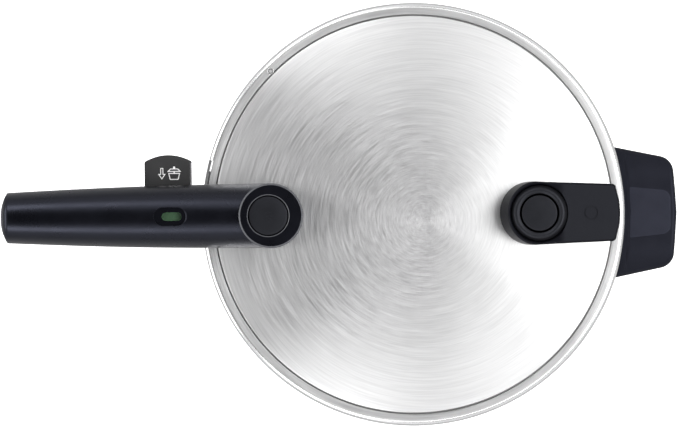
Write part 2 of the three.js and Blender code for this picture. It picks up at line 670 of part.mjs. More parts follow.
/** Closes the handle from below, outside the lid. The latch's hook comes down through its slot. */
function handleCover() {
  const plan = raised(handlePlan(HANDLE_WALL + SEAT_GAP, COVER_INNER_X), HANDLE_UNDER_Z, COVER_TOP_Z, 10);
  const slot = block(
    [HOOK_X - HOOK_HALF - LATCH_TRAVEL - 1, -HOOK_HALF_WIDTH - 1, HANDLE_UNDER_Z - 1],
    [HOOK_X + HOOK_HALF + 1, HOOK_HALF_WIDTH + 1, COVER_TOP_Z + 1],
  );
  let body = plan.subtract(slot);
  for (const x of COVER_SCREW_XS) {
    const hole = { x, segments: 16 };
    const bore = HANDLE_UNDER_Z + COUNTERBORE_DEPTH;
    body = body
      .subtract(rod(SCREW_RADIUS + SEAT_GAP, HANDLE_UNDER_Z - 1, COVER_TOP_Z + 1, hole))
      .subtract(rod(SCREW_HEAD_RADIUS + SEAT_GAP, HANDLE_UNDER_Z - 1, bore, hole));
  }
  return body;
}

/** A screw driven up into a hole, its pan head below the face at `faceZ`. */
function screwUp(x, y, faceZ, length, radius = SCREW_RADIUS - SEAT_GAP) {
  const under = faceZ - SEAT_GAP;
  const cross = SCREW_HEAD_RADIUS * 0.62;
  const body = turned(
    [
      [0, under - SCREW_HEAD_HEIGHT],
      [SCREW_HEAD_RADIUS * 0.75, under - SCREW_HEAD_HEIGHT],
      [SCREW_HEAD_RADIUS, under - SCREW_HEAD_HEIGHT * 0.5],
      [SCREW_HEAD_RADIUS, under],
      [radius, under],
      [radius, faceZ + length - radius],
      [0, faceZ + length],
    ],
    { x, y, segments: 16 },
  );
  const low = under - SCREW_HEAD_HEIGHT - 1;
  const high = under - SCREW_HEAD_HEIGHT * 0.45;
  return body
    .subtract(block([x - cross, y - 0.4, low], [x + cross, y + 0.4, high]))
    .subtract(block([x - 0.4, y - cross, low], [x + 0.4, y + cross, high]));
}

/** The latch: a plate with a ramp for the button, a slot over the float pin and a hook at the pot grip. */
function latch() {
  const plate = block(
    [LATCH_OUTER_X, -LATCH_HALF_WIDTH, LATCH_UNDER_Z],
    [LATCH_INNER_X, LATCH_HALF_WIDTH, LATCH_TOP_Z],
  );
  const ramp = across(
    outline([
      [RAMP_HIGH_X, LATCH_TOP_Z - 1],
      [RAMP_LOW_X, LATCH_TOP_Z - 1],
      [RAMP_LOW_X, LATCH_TOP_Z],
      [RAMP_HIGH_X, LATCH_TOP_Z + RAMP_RISE],
    ]),
    -WEDGE_HALF_WIDTH,
    WEDGE_HALF_WIDTH,
  );
  const hook = block(
    [HOOK_X - HOOK_HALF, -HOOK_HALF_WIDTH, GRIP_TOP_Z - HOOK_DEPTH],
    [HOOK_X + HOOK_HALF, HOOK_HALF_WIDTH, LATCH_TOP_Z - 1],
  );
  const pinRoom = FLOAT_COLLAR_RADIUS + SLIDE_GAP;
  const slot = slotOutline(
    FLOAT_X + LATCH_TRAVEL / 2,
    0,
    LATCH_TRAVEL + 2 * pinRoom,
    2 * pinRoom,
  );
  return plate.add(ramp).add(hook).subtract(raised(slot, LATCH_UNDER_Z - 1, LATCH_TOP_Z + RAMP_RISE + 1));
}

/** One field of the lock flag: it stands on the latch, under the window. */
function flag(x0, x1) {
  const half = FLAG_WIDTH / 2;
  return block(
    [x0, -half, LATCH_TOP_Z + SEAT_GAP],
    [x1, half, DISH_Z - HANDLE_WALL - SLIDE_GAP],
  );
}

const FLAG_SPLIT_X = WINDOW_X + WINDOW_LENGTH / 2 + 0.4;

function releaseButton() {
  const face = HEAD_FACE_Z + 0.2;
  const disc = turned(
    [
      [0, face - BUTTON_THICKNESS],
      [BUTTON_RADIUS, face - BUTTON_THICKNESS],
      [BUTTON_RADIUS, face - 0.6],
      [BUTTON_RADIUS - 0.6, face],
      [0, face],
    ],
    { x: BUTTON_X },
  );
  const slope = RAMP_RISE / RAMP_RUN;
  const lineZ = (x) => LATCH_TOP_Z + 0.5 + (RAMP_LOW_X - x) * slope;
  const cutX = RAMP_LOW_X - (WEDGE_UNDER_Z - LATCH_TOP_Z - 0.5) / slope;
  const wedge = across(
    outline([
      [WEDGE_OUTER_X, lineZ(WEDGE_OUTER_X)],
      [cutX, WEDGE_UNDER_Z],
      [WEDGE_INNER_X, WEDGE_UNDER_Z],
      [WEDGE_INNER_X, face - BUTTON_THICKNESS + 0.5],
      [WEDGE_OUTER_X, face - BUTTON_THICKNESS + 0.5],
    ]),
    -WEDGE_HALF_WIDTH,
    WEDGE_HALF_WIDTH,
  );
  return disc.add(wedge);
}

const lens = () =>
  raised(
    slotOutline(WINDOW_X, 0, WINDOW_LENGTH - 2 * SEAT_GAP, WINDOW_WIDTH - 2 * SEAT_GAP),
    DISH_Z - HANDLE_WALL + 0.4,
    DISH_Z - 0.5,
  );

/** The lowest point of the lid's underside within `reach` of a radius. */
const lidUnderZ = (radius, reach) => domeZ(radius + reach) - LID_WALL;

/** The highest point of the lid's top within `reach` of a radius. */
const lidTopZ = (radius, reach) => domeZ(radius - reach);

const WASHER_TOP_Z = lidUnderZ(BOLT_RADIUS_OUT, BOLT_HEAD_RADIUS) - SEAT_GAP;
const NUT_FLOOR_Z = lidTopZ(BOLT_RADIUS_OUT, NUT_RADIUS) + SEAT_GAP + HANDLE_FLOOR + SEAT_GAP;

/** A bolt that holds the lid handle, up through the lid, with a round head inside the lid. */
function handleBolt(y) {
  const under = WASHER_TOP_Z - WASHER_THICKNESS - SEAT_GAP;
  return turned(
    [
      [0, under - BOLT_HEAD_HEIGHT],
      [BOLT_HEAD_RADIUS - 1, under - BOLT_HEAD_HEIGHT],
      [BOLT_HEAD_RADIUS, under - BOLT_HEAD_HEIGHT + 1],
      [BOLT_HEAD_RADIUS, under],
      [HANDLE_BOLT_RADIUS, under],
      [HANDLE_BOLT_RADIUS, NUT_FLOOR_Z + NUT_HEIGHT],
      [0, NUT_FLOOR_Z + NUT_HEIGHT],
    ],
    { x: HANDLE_BOLT_X, y, segments: 24 },
  );
}

const boltWasher = (y) =>
  tube(HANDLE_BOLT_RADIUS + SEAT_GAP, BOLT_HEAD_RADIUS, WASHER_TOP_Z - WASHER_THICKNESS, WASHER_TOP_Z, {
    x: HANDLE_BOLT_X,
    y,
    segments: 24,
  });

/** A six-sided nut round a shank. */
const nut = (hole, radius, z0, z1, place) =>
  rod(radius, z0, z1, { ...place, segments: 6 }).subtract(rod(hole + SEAT_GAP, z0 - 1, z1 + 1, place));

const handleNut = (y) =>
  nut(HANDLE_BOLT_RADIUS, NUT_RADIUS, NUT_FLOOR_Z, NUT_FLOOR_Z + NUT_HEIGHT - 0.5, { x: HANDLE_BOLT_X, y });

/** The bush that the float pin slides in, pushed up through the lid. */
function floatBush() {
  const radius = -FLOAT_X;
  const flange = lidUnderZ(radius, FLOAT_FLANGE_RADIUS) - SEAT_GAP;
  return turned(
    [
      [FLOAT_PIN_RADIUS + SLIDE_GAP, flange - 1.5],
      [FLOAT_FLANGE_RADIUS, flange - 1.5],
      [FLOAT_FLANGE_RADIUS, flange],
      [FLOAT_BUSH_RADIUS, flange],
      [FLOAT_BUSH_RADIUS, LATCH_UNDER_Z - 2],
      [FLOAT_PIN_RADIUS + SLIDE_GAP, LATCH_UNDER_Z - 2],
    ],
    { x: FLOAT_X },
  );
}

/** The float pin: steam lifts it into the latch's slot. It hangs by its collar above the bush. */
function floatPin() {
  const low = lidUnderZ(-FLOAT_X, FLOAT_FLANGE_RADIUS) - SEAT_GAP - 1.5 - FLOAT_TRAVEL - 0.4;
  return turned(
    [
      [0, low - 3],
      [4.6, low - 3],
      [4.6, low - 1.5],
      [FLOAT_PIN_RADIUS, low - 1.5],
      [FLOAT_PIN_RADIUS, LATCH_UNDER_Z - 2 + SEAT_GAP],
      [FLOAT_COLLAR_RADIUS, LATCH_UNDER_Z - 2 + SEAT_GAP],
      [FLOAT_COLLAR_RADIUS, LATCH_UNDER_Z - 0.8],
      [0, LATCH_UNDER_Z - 0.6],
    ],
    { x: FLOAT_X, segments: 20 },
  );
}

function floatSeal() {
  const low = lidUnderZ(-FLOAT_X, FLOAT_FLANGE_RADIUS) - SEAT_GAP - 1.5 - FLOAT_TRAVEL - 0.4;
  return tube(FLOAT_PIN_RADIUS + SEAT_GAP, 4.2, low - 1.2, low, { x: FLOAT_X, segments: 20 });
}

// ------------------------------------------------------------------------------------------------------- valve unit
const BORE_FLOOR_Z = UNIT_TOP_Z - 9;
const COLLAR_TOP_Z = UNIT_TOP_Z + COLLAR_PROUD;
const CAP_TOP_Z = COLLAR_TOP_Z - 0.3;
const VALVE_TOP_Z = BORE_FLOOR_Z - 3;
const STEM_TOP_Z = CAP_TOP_Z - 2;
const PISTON_Z = domeZ(KNOB_X) - 6;
const PISTON_RADIUS = VALVE_BODY_RADIUS - 1.4 - SLIDE_GAP;
const CAGE_LID = 2;

/** The unit's outline in plan, `inset` inside its outside. */
function unitPlan(inset) {
  const centre = UNIT_INNER_X + UNIT_INNER_RADIUS;
  const end = UNIT_OUTER_X - inset;
  const half = UNIT_OUTER_HALF_WIDTH - inset;
  const corner = 3;
  const bulge = half ** 2 / (2 * UNIT_OUTER_X);
  const shape = new THREE.Shape();
  shape.absarc(centre, 0, UNIT_INNER_RADIUS - inset, Math.PI / 2, 1.5 * Math.PI, false);
  shape.lineTo(end - bulge - corner, -half);
  shape.quadraticCurveTo(end - bulge, -half, end - bulge * 0.7, -half * 0.8);
  shape.quadraticCurveTo(end + bulge * 0.7, 0, end - bulge * 0.7, half * 0.8);
  shape.quadraticCurveTo(end - bulge, half, end - bulge - corner, half);
  return shape;
}

/** The unit's side outline under its sloping top, `drop` below it. */
function unitSide(drop) {
  const level = KNOB_X + COLLAR_RADIUS * 0.7;
  return outline([
    [UNIT_INNER_X - 20, RIM_Z],
    [UNIT_OUTER_X + 20, RIM_Z],
    [UNIT_OUTER_X + 20, UNIT_OUTER_TOP_Z - drop - 2],
    [UNIT_OUTER_X, UNIT_OUTER_TOP_Z - drop],
    [level, UNIT_TOP_Z - drop],
    [UNIT_INNER_X - 20, UNIT_TOP_Z - drop],
  ]);
}

/** Leans the inner end of a solid outwards from the lid's dome to the top, as the unit's end wall does. */
function leaning(shape, z0, z1) {
  const geometry = new THREE.ExtrudeGeometry(shape, {
    depth: z1 - z0,
    steps: 1,
    bevelEnabled: false,
    curveSegments: 9,
  });
  geometry.translate(0, 0, z0);
  const place = geometry.getAttribute("position");
  const foot = domeZ(UNIT_INNER_X);
  const centre = UNIT_INNER_X + UNIT_INNER_RADIUS;
  for (let i = 0; i < place.count; i++) {
    if (place.getX(i) <= centre + 0.01) {
      const share = (place.getZ(i) - foot) / (UNIT_TOP_Z - foot);
      place.setX(i, place.getX(i) + share * UNIT_LEAN);
    }
  }
  return solid(geometry);
}

function unitHousing() {
  const side = across(unitSide(0), -UNIT_INNER_RADIUS - 5, UNIT_INNER_RADIUS + 5);
  let body = leaning(unitPlan(0), RIM_Z, UNIT_TOP_Z + 2).intersect(side).subtract(underLid(SEAT_GAP));
  const low = across(unitSide(UNIT_WALL), -UNIT_INNER_RADIUS - 5, UNIT_INNER_RADIUS + 5);
  const cavity = leaning(unitPlan(UNIT_WALL), RIM_Z - 1, BORE_FLOOR_Z - 2.4).intersect(low);
  body = body.subtract(cavity);
  body = body.subtract(rod(BORE_RADIUS, BORE_FLOOR_Z, UNIT_TOP_Z + 5, { x: KNOB_X, segments: 32 }));
  body = body.subtract(rod(CAP_RADIUS - 3, BORE_FLOOR_Z - 5, BORE_FLOOR_Z + 1, { x: KNOB_X }));
  // The level mark: a shallow round groove on the sloping top.
  const mark = tube(3.9, 4.7, UNIT_OUTER_TOP_Z, UNIT_TOP_Z + 5, { x: MARK_X, segments: 24 });
  const deep = across(unitSide(0.6), -10, 10);
  return body.subtract(mark.subtract(deep));
}


/** The level collar: a round-topped ring that turns in the housing's bore. */
function collar() {
  const inner = CAP_RADIUS + SLIDE_GAP;
  const low = BORE_FLOOR_Z + SEAT_GAP;
  return turned(
    [
      [inner, low],
      [COLLAR_RADIUS, low],
      [COLLAR_RADIUS, COLLAR_TOP_Z - COLLAR_FALL - 1],
      [COLLAR_RADIUS - 0.9, COLLAR_TOP_Z - COLLAR_FALL],
      [inner + 2.2, COLLAR_TOP_Z - 0.4],
      [inner + 0.5, COLLAR_TOP_Z],
      [inner, COLLAR_TOP_Z - 0.5],
    ],
    { x: KNOB_X, segments: 32 },
  );
}

/** The indicator cap: a hollow cup whose side carries the level rings, seen when the stem has risen. */
function indicatorCap() {
  const inner = CAP_RADIUS - 2;
  const low = CAP_TOP_Z - 8;
  return turned(
    [
      [0, CAP_TOP_Z - 2],
      [inner, CAP_TOP_Z - 2],
      [inner, low],
      [CAP_RADIUS, low],
      [CAP_RADIUS, CAP_TOP_Z - 0.6],
      [CAP_RADIUS - 0.6, CAP_TOP_Z],
      [0, CAP_TOP_Z],
    ],
    { x: KNOB_X, segments: 28 },
  );
}

/** The stem and its piston, which steam lifts against the spring. */
function indicatorStem() {
  return turned(
    [
      [0, PISTON_Z],
      [PISTON_RADIUS, PISTON_Z],
      [PISTON_RADIUS, PISTON_Z + 2],
      [VALVE_STEM_RADIUS, PISTON_Z + 2],
      [VALVE_STEM_RADIUS, STEM_TOP_Z - SEAT_GAP],
      [0, STEM_TOP_Z - SEAT_GAP],
    ],
    { x: KNOB_X, segments: 24 },
  );
}

const VALVE_FOOT_Z = lidUnderZ(KNOB_X, 12) - 5;

/** The valve body: a steel cup through the lid, open at the bottom through a small steam hole. */
function valveBody() {
  const bore = PISTON_RADIUS + SLIDE_GAP;
  return turned(
    [
      [2, VALVE_FOOT_Z],
      [VALVE_BODY_RADIUS, VALVE_FOOT_Z],
      [VALVE_BODY_RADIUS, VALVE_TOP_Z - CAGE_LID - SEAT_GAP],
      [bore, VALVE_TOP_Z - CAGE_LID - SEAT_GAP],
      [bore, PISTON_Z - SEAT_GAP],
      [2, PISTON_Z - SEAT_GAP],
    ],
    { x: KNOB_X },
  );
}

const valveCageLid = () =>
  tube(VALVE_STEM_RADIUS + SLIDE_GAP, VALVE_BODY_RADIUS, VALVE_TOP_Z - CAGE_LID, VALVE_TOP_Z, { x: KNOB_X });

const NUT_TOP_Z = lidUnderZ(KNOB_X, VALVE_NUT_RADIUS) - SEAT_GAP - 1.5 - SEAT_GAP;

const valveWasher = () =>
  tube(VALVE_BODY_RADIUS + SEAT_GAP, VALVE_NUT_RADIUS, NUT_TOP_Z + SEAT_GAP, lidUnderZ(KNOB_X, VALVE_NUT_RADIUS) - SEAT_GAP, { x: KNOB_X });

const valveNut = () => nut(VALVE_BODY_RADIUS, VALVE_NUT_RADIUS, NUT_TOP_Z - 3.6, NUT_TOP_Z, { x: KNOB_X });

/** The second safety: a soft plug that is pushed out if the valve ever blocks. */
function safetyPlug() {
  const under = lidUnderZ(PLUG_X, SAFETY_FLANGE_RADIUS) - SEAT_GAP;
  const top = lidTopZ(PLUG_X, SAFETY_FLANGE_RADIUS) + SEAT_GAP;
  return turned(
    [
      [0, under - 2],
      [SAFETY_FLANGE_RADIUS, under - 2],
      [SAFETY_FLANGE_RADIUS, under],
      [SAFETY_PLUG_RADIUS, under],
      [SAFETY_PLUG_RADIUS, top],
      [5.6, top],
      [4.6, top + 1.6],
      [0, top + 1.6],
    ],
    { x: PLUG_X, segments: 20 },
  );
}

// --------------------------------------------------------------------------------------------------------- pot grip
/** An upright rounded rectangle, as an outline of [y, z] pulled along X. */
function along(halfY, z0, z1, corner, x0, x1) {
  const shape = new THREE.Shape();
  shape.absarc(halfY - corner, z0 + corner, corner, -Math.PI / 2, 0, false);
  shape.absarc(halfY - corner, z1 - corner, corner, 0, Math.PI / 2, false);
  shape.absarc(-halfY + corner, z1 - corner, corner, Math.PI / 2, Math.PI, false);
  shape.absarc(-halfY + corner, z0 + corner, corner, Math.PI, 1.5 * Math.PI, false);
  const geometry = new THREE.ExtrudeGeometry(shape, { depth: x1 - x0, bevelEnabled: false, curveSegments: 5 });
  geometry.rotateX(Math.PI / 2);
  geometry.rotateZ(Math.PI / 2);
  geometry.translate(x0, 0, 0);
  return solid(geometry);
}

const GRIP_HALF_WIDTH = HEAD_RADIUS - GRIP_INSET;

/** The tab's outline in plan: straight sides and an arched end, running in under the lid handle. */
function tabPlan(grow) {
  const half = TAB_WIDTH / 2 + grow;
  const end = TAB_REACH + grow;
  const shape = new THREE.Shape();
  shape.moveTo(TAB_X - half, -TAB_FOOT - grow);
  shape.lineTo(TAB_X + half, -TAB_FOOT - grow);
  shape.lineTo(TAB_X + half, end - TAB_ARC_RISE);
  shape.quadraticCurveTo(TAB_X, end + TAB_ARC_RISE, TAB_X - half, end - TAB_ARC_RISE);
  return shape;
}

const TAB_FOOT = 6;
const TAB_SCREW_XS = [TAB_X - 10, TAB_X + 10];
const KEEPER_SHEET = 1.5;
const POCKET = {
  x0: HOOK_X - HOOK_HALF - LATCH_TRAVEL - 2,
  x1: HOOK_X + HOOK_HALF + 2,
  y0: -HOOK_HALF_WIDTH - 1 - KEEPER_SHEET - SEAT_GAP,
  floor: GRIP_TOP_Z - HOOK_DEPTH - 2,
};

function potGrip() {
  const inner = along(GRIP_HALF_WIDTH, GRIP_UNDER_Z, GRIP_TOP_Z, 9, TIP_X, GRIP_INNER_X);
  let body = inner.intersect(raised(handlePlan(GRIP_INSET, GRIP_INNER_X), GRIP_UNDER_Z - 1, GRIP_TOP_Z + 1, 10));
  // Room for the lid's skirt, the bracket, the placing tab and the latch's hook.
  const skirt = rod(LID_RADIUS + 1.5, SKIRT_BOTTOM_Z - 1.6, GRIP_TOP_Z + 1, { segments: LATHE_SEGMENTS });
  body = body.subtract(skirt);
  const socket = along(
    BRACKET_WIDTH / 2 + SEAT_GAP,
    BRACKET_Z - BRACKET_HEIGHT / 2 - SEAT_GAP,
    BRACKET_Z + BRACKET_HEIGHT / 2 + SEAT_GAP,
    1,
    GUARD_INNER_X - BRACKET_LENGTH - 1,
    GRIP_INNER_X + 1,
  );
  body = body.subtract(socket);
  body = body.subtract(raised(tabPlan(SEAT_GAP), TAB_Z - SEAT_GAP, GRIP_TOP_Z + 1, 10));
  body = body.subtract(
    block([POCKET.x0, POCKET.y0, POCKET.floor], [POCKET.x1, GRIP_HALF_WIDTH + 2, GRIP_TOP_Z + 1]),
  );
  for (const x of TAB_SCREW_XS) {
    body = body.subtract(rod(SCREW_RADIUS, TAB_Z - 9, TAB_Z, { x, segments: 16 }));
  }
  const hole = { x: GRIP_SCREW_X, segments: 16 };
  body = body.subtract(rod(SCREW_RADIUS + SEAT_GAP, GRIP_UNDER_Z - 1, BRACKET_Z, hole));
  return body.subtract(rod(SCREW_HEAD_RADIUS + 1, GRIP_UNDER_Z - 1, GRIP_UNDER_Z + 3, hole));
}

/** The steel bar welded to the pot's wall. */
function gripBracket() {
  const bar = along(
    BRACKET_WIDTH / 2,
    BRACKET_Z - BRACKET_HEIGHT / 2,
    BRACKET_Z + BRACKET_HEIGHT / 2,
    1,
    GUARD_INNER_X - BRACKET_LENGTH,
    GUARD_INNER_X + 3,
  );
  const hole = rod(SCREW_RADIUS, BRACKET_Z - BRACKET_HEIGHT, BRACKET_Z + 3, { x: GRIP_SCREW_X, segments: 16 });
  return bar.subtract(outsidePot()).subtract(hole);
}

/** The pot's outside and its clearance, for cutting what is welded or clamped to its wall. */
const outsidePot = () => rod(POT_OUTER_RADIUS + SEAT_GAP, 0, RIM_Z, { segments: LATHE_SEGMENTS });

/** The steel sleeve between the flame and the grip. */
function flameGuard() {
  const half = GRIP_HALF_WIDTH;
  const outer = along(half, GUARD_UNDER_Z, GUARD_TOP_Z, 8, GUARD_OUTER_X, GUARD_INNER_X + 8);
  const inner = along(
    half - GUARD_SHEET,
    GUARD_UNDER_Z + GUARD_SHEET,
    GUARD_TOP_Z - GUARD_SHEET,
    7,
    GUARD_OUTER_X - 1,
    GUARD_INNER_X + 9,
  );
  return outer.subtract(inner).subtract(outsidePot());
}

/** A steel angle in the grip's pocket: a floor, and a cheek that the hook comes up against as the lid closes. */
function keeper() {
  const { x0, x1, y0, floor } = POCKET;
  const low = floor + SEAT_GAP;
  const plate = block([x0 + SEAT_GAP, y0 + SEAT_GAP, low], [x1 - SEAT_GAP, HOOK_HALF_WIDTH + 3, low + 1]);
  const cheek = block(
    [x0 + SEAT_GAP, y0 + SEAT_GAP, low],
    [x1 - SEAT_GAP, y0 + SEAT_GAP + KEEPER_SHEET, GRIP_TOP_Z - 0.2],
  );
  return plate.add(cheek);
}

function placingTab() {
  let body = raised(tabPlan(0), TAB_Z, GRIP_TOP_Z, 12);
  for (const x of TAB_SCREW_XS) {
    body = body.subtract(rod(SCREW_RADIUS + SEAT_GAP, TAB_Z - 1, GRIP_TOP_Z + 1, { x, segments: 16 }));
  }
  return body;
}

/** A small screw down through the tab, its head just above it. */
function tabScrew(x) {
  const radius = SCREW_RADIUS - SEAT_GAP;
  const head = GRIP_TOP_Z + SEAT_GAP;
  const body = turned(
    [[0, TAB_Z - 8], [radius, TAB_Z - 7], [radius, head], [2.9, head], [2.4, head + 0.8], [0, head + 0.8]],
    { x, segments: 16 },
  );
  return body.subtract(block([x - 1.6, -0.35, head + 0.4], [x + 1.6, 0.35, head + 2]));
}

// -------------------------------------------------------------------------------------------------------- side grip
function sidePlan() {
  const tip = SIDE_TIP_X;
  const inner = POT_OUTER_RADIUS - 30;
  const corner = 14;
  const shape = new THREE.Shape();
  const slope = (SIDE_HALF_WIDTH - SIDE_TIP_HALF_WIDTH) / SIDE_REACH;
  const innerHalf = SIDE_HALF_WIDTH + slope * (LID_RADIUS - inner) * 0.4;
  shape.moveTo(inner, -innerHalf);
  shape.lineTo(tip - corner, -SIDE_TIP_HALF_WIDTH - slope * corner);
  shape.quadraticCurveTo(tip - 2, -SIDE_TIP_HALF_WIDTH, tip - 1.5, -SIDE_TIP_HALF_WIDTH + corner);
  shape.quadraticCurveTo(tip + 1.5, 0, tip - 1.5, SIDE_TIP_HALF_WIDTH - corner);
  shape.quadraticCurveTo(tip - 2, SIDE_TIP_HALF_WIDTH, tip - corner, SIDE_TIP_HALF_WIDTH + slope * corner);
  shape.lineTo(inner, innerHalf);
  return shape;
}

/** The side grip's section: a level top that rounds over at the tip, and a hollow below for the fingers. */
function sideSection() {
  const shape = new THREE.Shape();
  const tip = SIDE_TIP_X;
  const rootX = POT_OUTER_RADIUS - 20;
  const hollow = SIDE_THICKNESS * 0.3;
  shape.moveTo(rootX, SIDE_UNDER_Z);
  shape.lineTo(SIDE_INNER_X + SIDE_BRACKET_LENGTH * 0.75, SIDE_UNDER_Z);
  shape.quadraticCurveTo(
    (SIDE_INNER_X + tip) / 2 + 2,
    SIDE_UNDER_Z + hollow * 1.6,
    tip - 9,
    SIDE_UNDER_Z + hollow * 0.9,
  );
  shape.quadraticCurveTo(tip + 1.5, SIDE_UNDER_Z + hollow, tip + 1.5, SIDE_TOP_Z - 7);
  shape.quadraticCurveTo(tip, SIDE_TOP_Z - 2, tip - 12, SIDE_TOP_Z - 1);
  shape.quadraticCurveTo(LID_RADIUS + 6, SIDE_TOP_Z, LID_RADIUS, SIDE_TOP_Z);
  shape.lineTo(rootX, SIDE_TOP_Z);
  return shape;
}

function sideGrip() {
  const wide = SIDE_HALF_WIDTH * 1.3;
  let body = raised(sidePlan(), SIDE_UNDER_Z - 1, SIDE_TOP_Z + 1, 8).intersect(
    across(sideSection(), -wide, wide, 7),
  );
  body = body.subtract(rod(SIDE_INNER_X, 0, RIM_Z, { segments: LATHE_SEGMENTS }));
  const half = SIDE_BRACKET_HALF_WIDTH + SEAT_GAP;
  const socket = block(
    [POT_OUTER_RADIUS - 30, -half, SIDE_BRACKET_Z - SIDE_BRACKET_HEIGHT / 2 - SEAT_GAP],
    [SIDE_INNER_X + SIDE_BRACKET_LENGTH + SEAT_GAP, half, SIDE_BRACKET_Z + SIDE_BRACKET_HEIGHT / 2 + SEAT_GAP],
  );
  body = body.subtract(socket);
  for (const y of [-SIDE_SCREW_Y, SIDE_SCREW_Y]) {
    const hole = { x: SIDE_SCREW_X, y, segments: 16 };
    body = body.subtract(rod(SCREW_RADIUS + SEAT_GAP, SIDE_UNDER_Z - 1, SIDE_BRACKET_Z, hole));
  }
  return body;
}

function sideBracket() {
  const half = SIDE_BRACKET_HALF_WIDTH;
  let body = block(
    [POT_OUTER_RADIUS - 20, -half, SIDE_BRACKET_Z - SIDE_BRACKET_HEIGHT / 2],
    [SIDE_INNER_X + SIDE_BRACKET_LENGTH, half, SIDE_BRACKET_Z + SIDE_BRACKET_HEIGHT / 2],
  ).subtract(outsidePot());
  for (const y of [-SIDE_SCREW_Y, SIDE_SCREW_Y]) {
    body = body.subtract(
      rod(SCREW_RADIUS, SIDE_BRACKET_Z - SIDE_BRACKET_HEIGHT, SIDE_BRACKET_Z + 2, {
        x: SIDE_SCREW_X,
        y,
        segments: 16,
      }),
    );
  }
  return body;
}

// ---------------------------------------------------------------------------------------------------------- springs
/** The button's spring, around its wedge. */
function buttonSpring() {
  const low = BUTTON_WELL_Z + SEAT_GAP;
  const high = HEAD_FACE_Z + 0.2 - BUTTON_THICKNESS - SEAT_GAP;
  const geometry = coil(BUTTON_RADIUS - 2.2, 0.4, high - low, 2.5);
  geometry.translate(BUTTON_X, 0, low);
  return solid(geometry);
}

/** The latch's spring, between its outer end and the handle's rib. */
function latchSpring() {
  const low = SPRING_RIB_X + SEAT_GAP;
  const high = LATCH_OUTER_X - SEAT_GAP;
  const geometry = coil(2.6, 0.4, high - low, 5);
  geometry.rotateY(Math.PI / 2);
  geometry.translate(low, 0, SPRING_Z);
  return solid(geometry);
}

/** The valve's spring, above the piston. */
function valveSpring() {
  const low = PISTON_Z + 2 + SEAT_GAP;
  const high = VALVE_TOP_Z - CAGE_LID - SEAT_GAP;
  const geometry = coil(PISTON_RADIUS - 1, 0.45, high - low, 4);
  geometry.translate(KNOB_X, 0, low);
  return solid(geometry);
}

// --------------------------------------------------------------------------------------------------------- assembly
piece("pot_shell", potShell(), SATIN_STEEL);
piece("base_core", baseCore(), ALUMINIUM);
piece("base_cap", baseCap(), SATIN_STEEL);
piece("grip_bracket", gripBracket(), BRIGHT_STEEL);
piece("flame_guard", flameGuard(), BRIGHT_STEEL);
piece("pot_grip", potGrip(), BLACK_GRIP);
piece("pot_grip_screw", screwUp(GRIP_SCREW_X, 0, GRIP_UNDER_Z + 3, BRACKET_Z - GRIP_UNDER_Z - 2), BRIGHT_STEEL);
piece("keeper", keeper(), BRIGHT_STEEL);
piece("placing_tab", placingTab(), DARK_TAB);
TAB_SCREW_XS.forEach((x, i) => piece(`tab_screw_${i + 1}`, tabScrew(x), BRIGHT_STEEL));
piece("side_bracket", sideBracket(), BRIGHT_STEEL);
piece("side_grip", sideGrip(), BLACK_GRIP);
[-SIDE_SCREW_Y, SIDE_SCREW_Y].forEach((y, i) => {
  piece(`side_screw_${i + 1}`, screwUp(SIDE_SCREW_X, y, SIDE_UNDER_Z, SIDE_THICKNESS / 2), BRIGHT_STEEL);
});

piece("seal_ring", seal(), SILICONE);

piece("lid_shell", lidShell(), SATIN_STEEL);
piece("rim_rivet", rimRivet(), BRIGHT_STEEL);
piece("handle_shell", handleShell(), BLACK_GRIP);
piece("handle_cover", handleCover(), BLACK_TRIM);
COVER_SCREW_XS.forEach((x, i) => {
  const length = COVER_THICKNESS + COVER_SCREW_BITE;
  piece(`cover_screw_${i + 1}`, screwUp(x, 0, HANDLE_UNDER_Z + COUNTERBORE_DEPTH, length), BRIGHT_STEEL);
});
piece("window_lens", lens(), LENS);
BOLT_YS.forEach((y, i) => {
  piece(`handle_bolt_${i + 1}`, handleBolt(y), BRIGHT_STEEL);
  piece(`bolt_washer_${i + 1}`, boltWasher(y), SILICONE);
  piece(`handle_nut_${i + 1}`, handleNut(y), BRIGHT_STEEL);
});
piece("float_bush", floatBush(), BRIGHT_STEEL);
piece("unit_housing", unitHousing(), BLACK_GRIP);
piece("valve_body", valveBody(), BRIGHT_STEEL);
piece("valve_cage_lid", valveCageLid(), BRIGHT_STEEL);
piece("valve_washer", valveWasher(), SILICONE);
piece("valve_nut", valveNut(), BRIGHT_STEEL);
piece("safety_plug", safetyPlug(), SILICONE);

piece("release_button", releaseButton(), BLACK_TRIM);
piece("button_spring", buttonSpring(), SPRING_STEEL);
piece("latch", latch(), BRIGHT_STEEL);
piece("flag_locked", flag(WINDOW_X - WINDOW_LENGTH / 2 - 1, FLAG_SPLIT_X - SEAT_GAP), GREEN);
piece("flag_open", flag(FLAG_SPLIT_X, FLAG_SPLIT_X + LATCH_TRAVEL + 1), RED);
piece("latch_spring", latchSpring(), SPRING_STEEL);
piece("float_pin", floatPin(), BRIGHT_STEEL);
piece("float_seal", floatSeal(), SILICONE);
piece("level_collar", collar(), BLACK_TRIM);
piece("indicator_cap", indicatorCap(), BLACK_TRIM);
piece("indicator_stem", indicatorStem(), BRIGHT_STEEL);
piece("valve_spring", valveSpring(), SPRING_STEEL);

export default root;
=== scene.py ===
"""The looks of a stovetop pressure cooker: every piece that shows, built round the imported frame.

Sizes in the mesh functions are millimetres in the frame's axes. Meshes are written in metres.
"""

import math

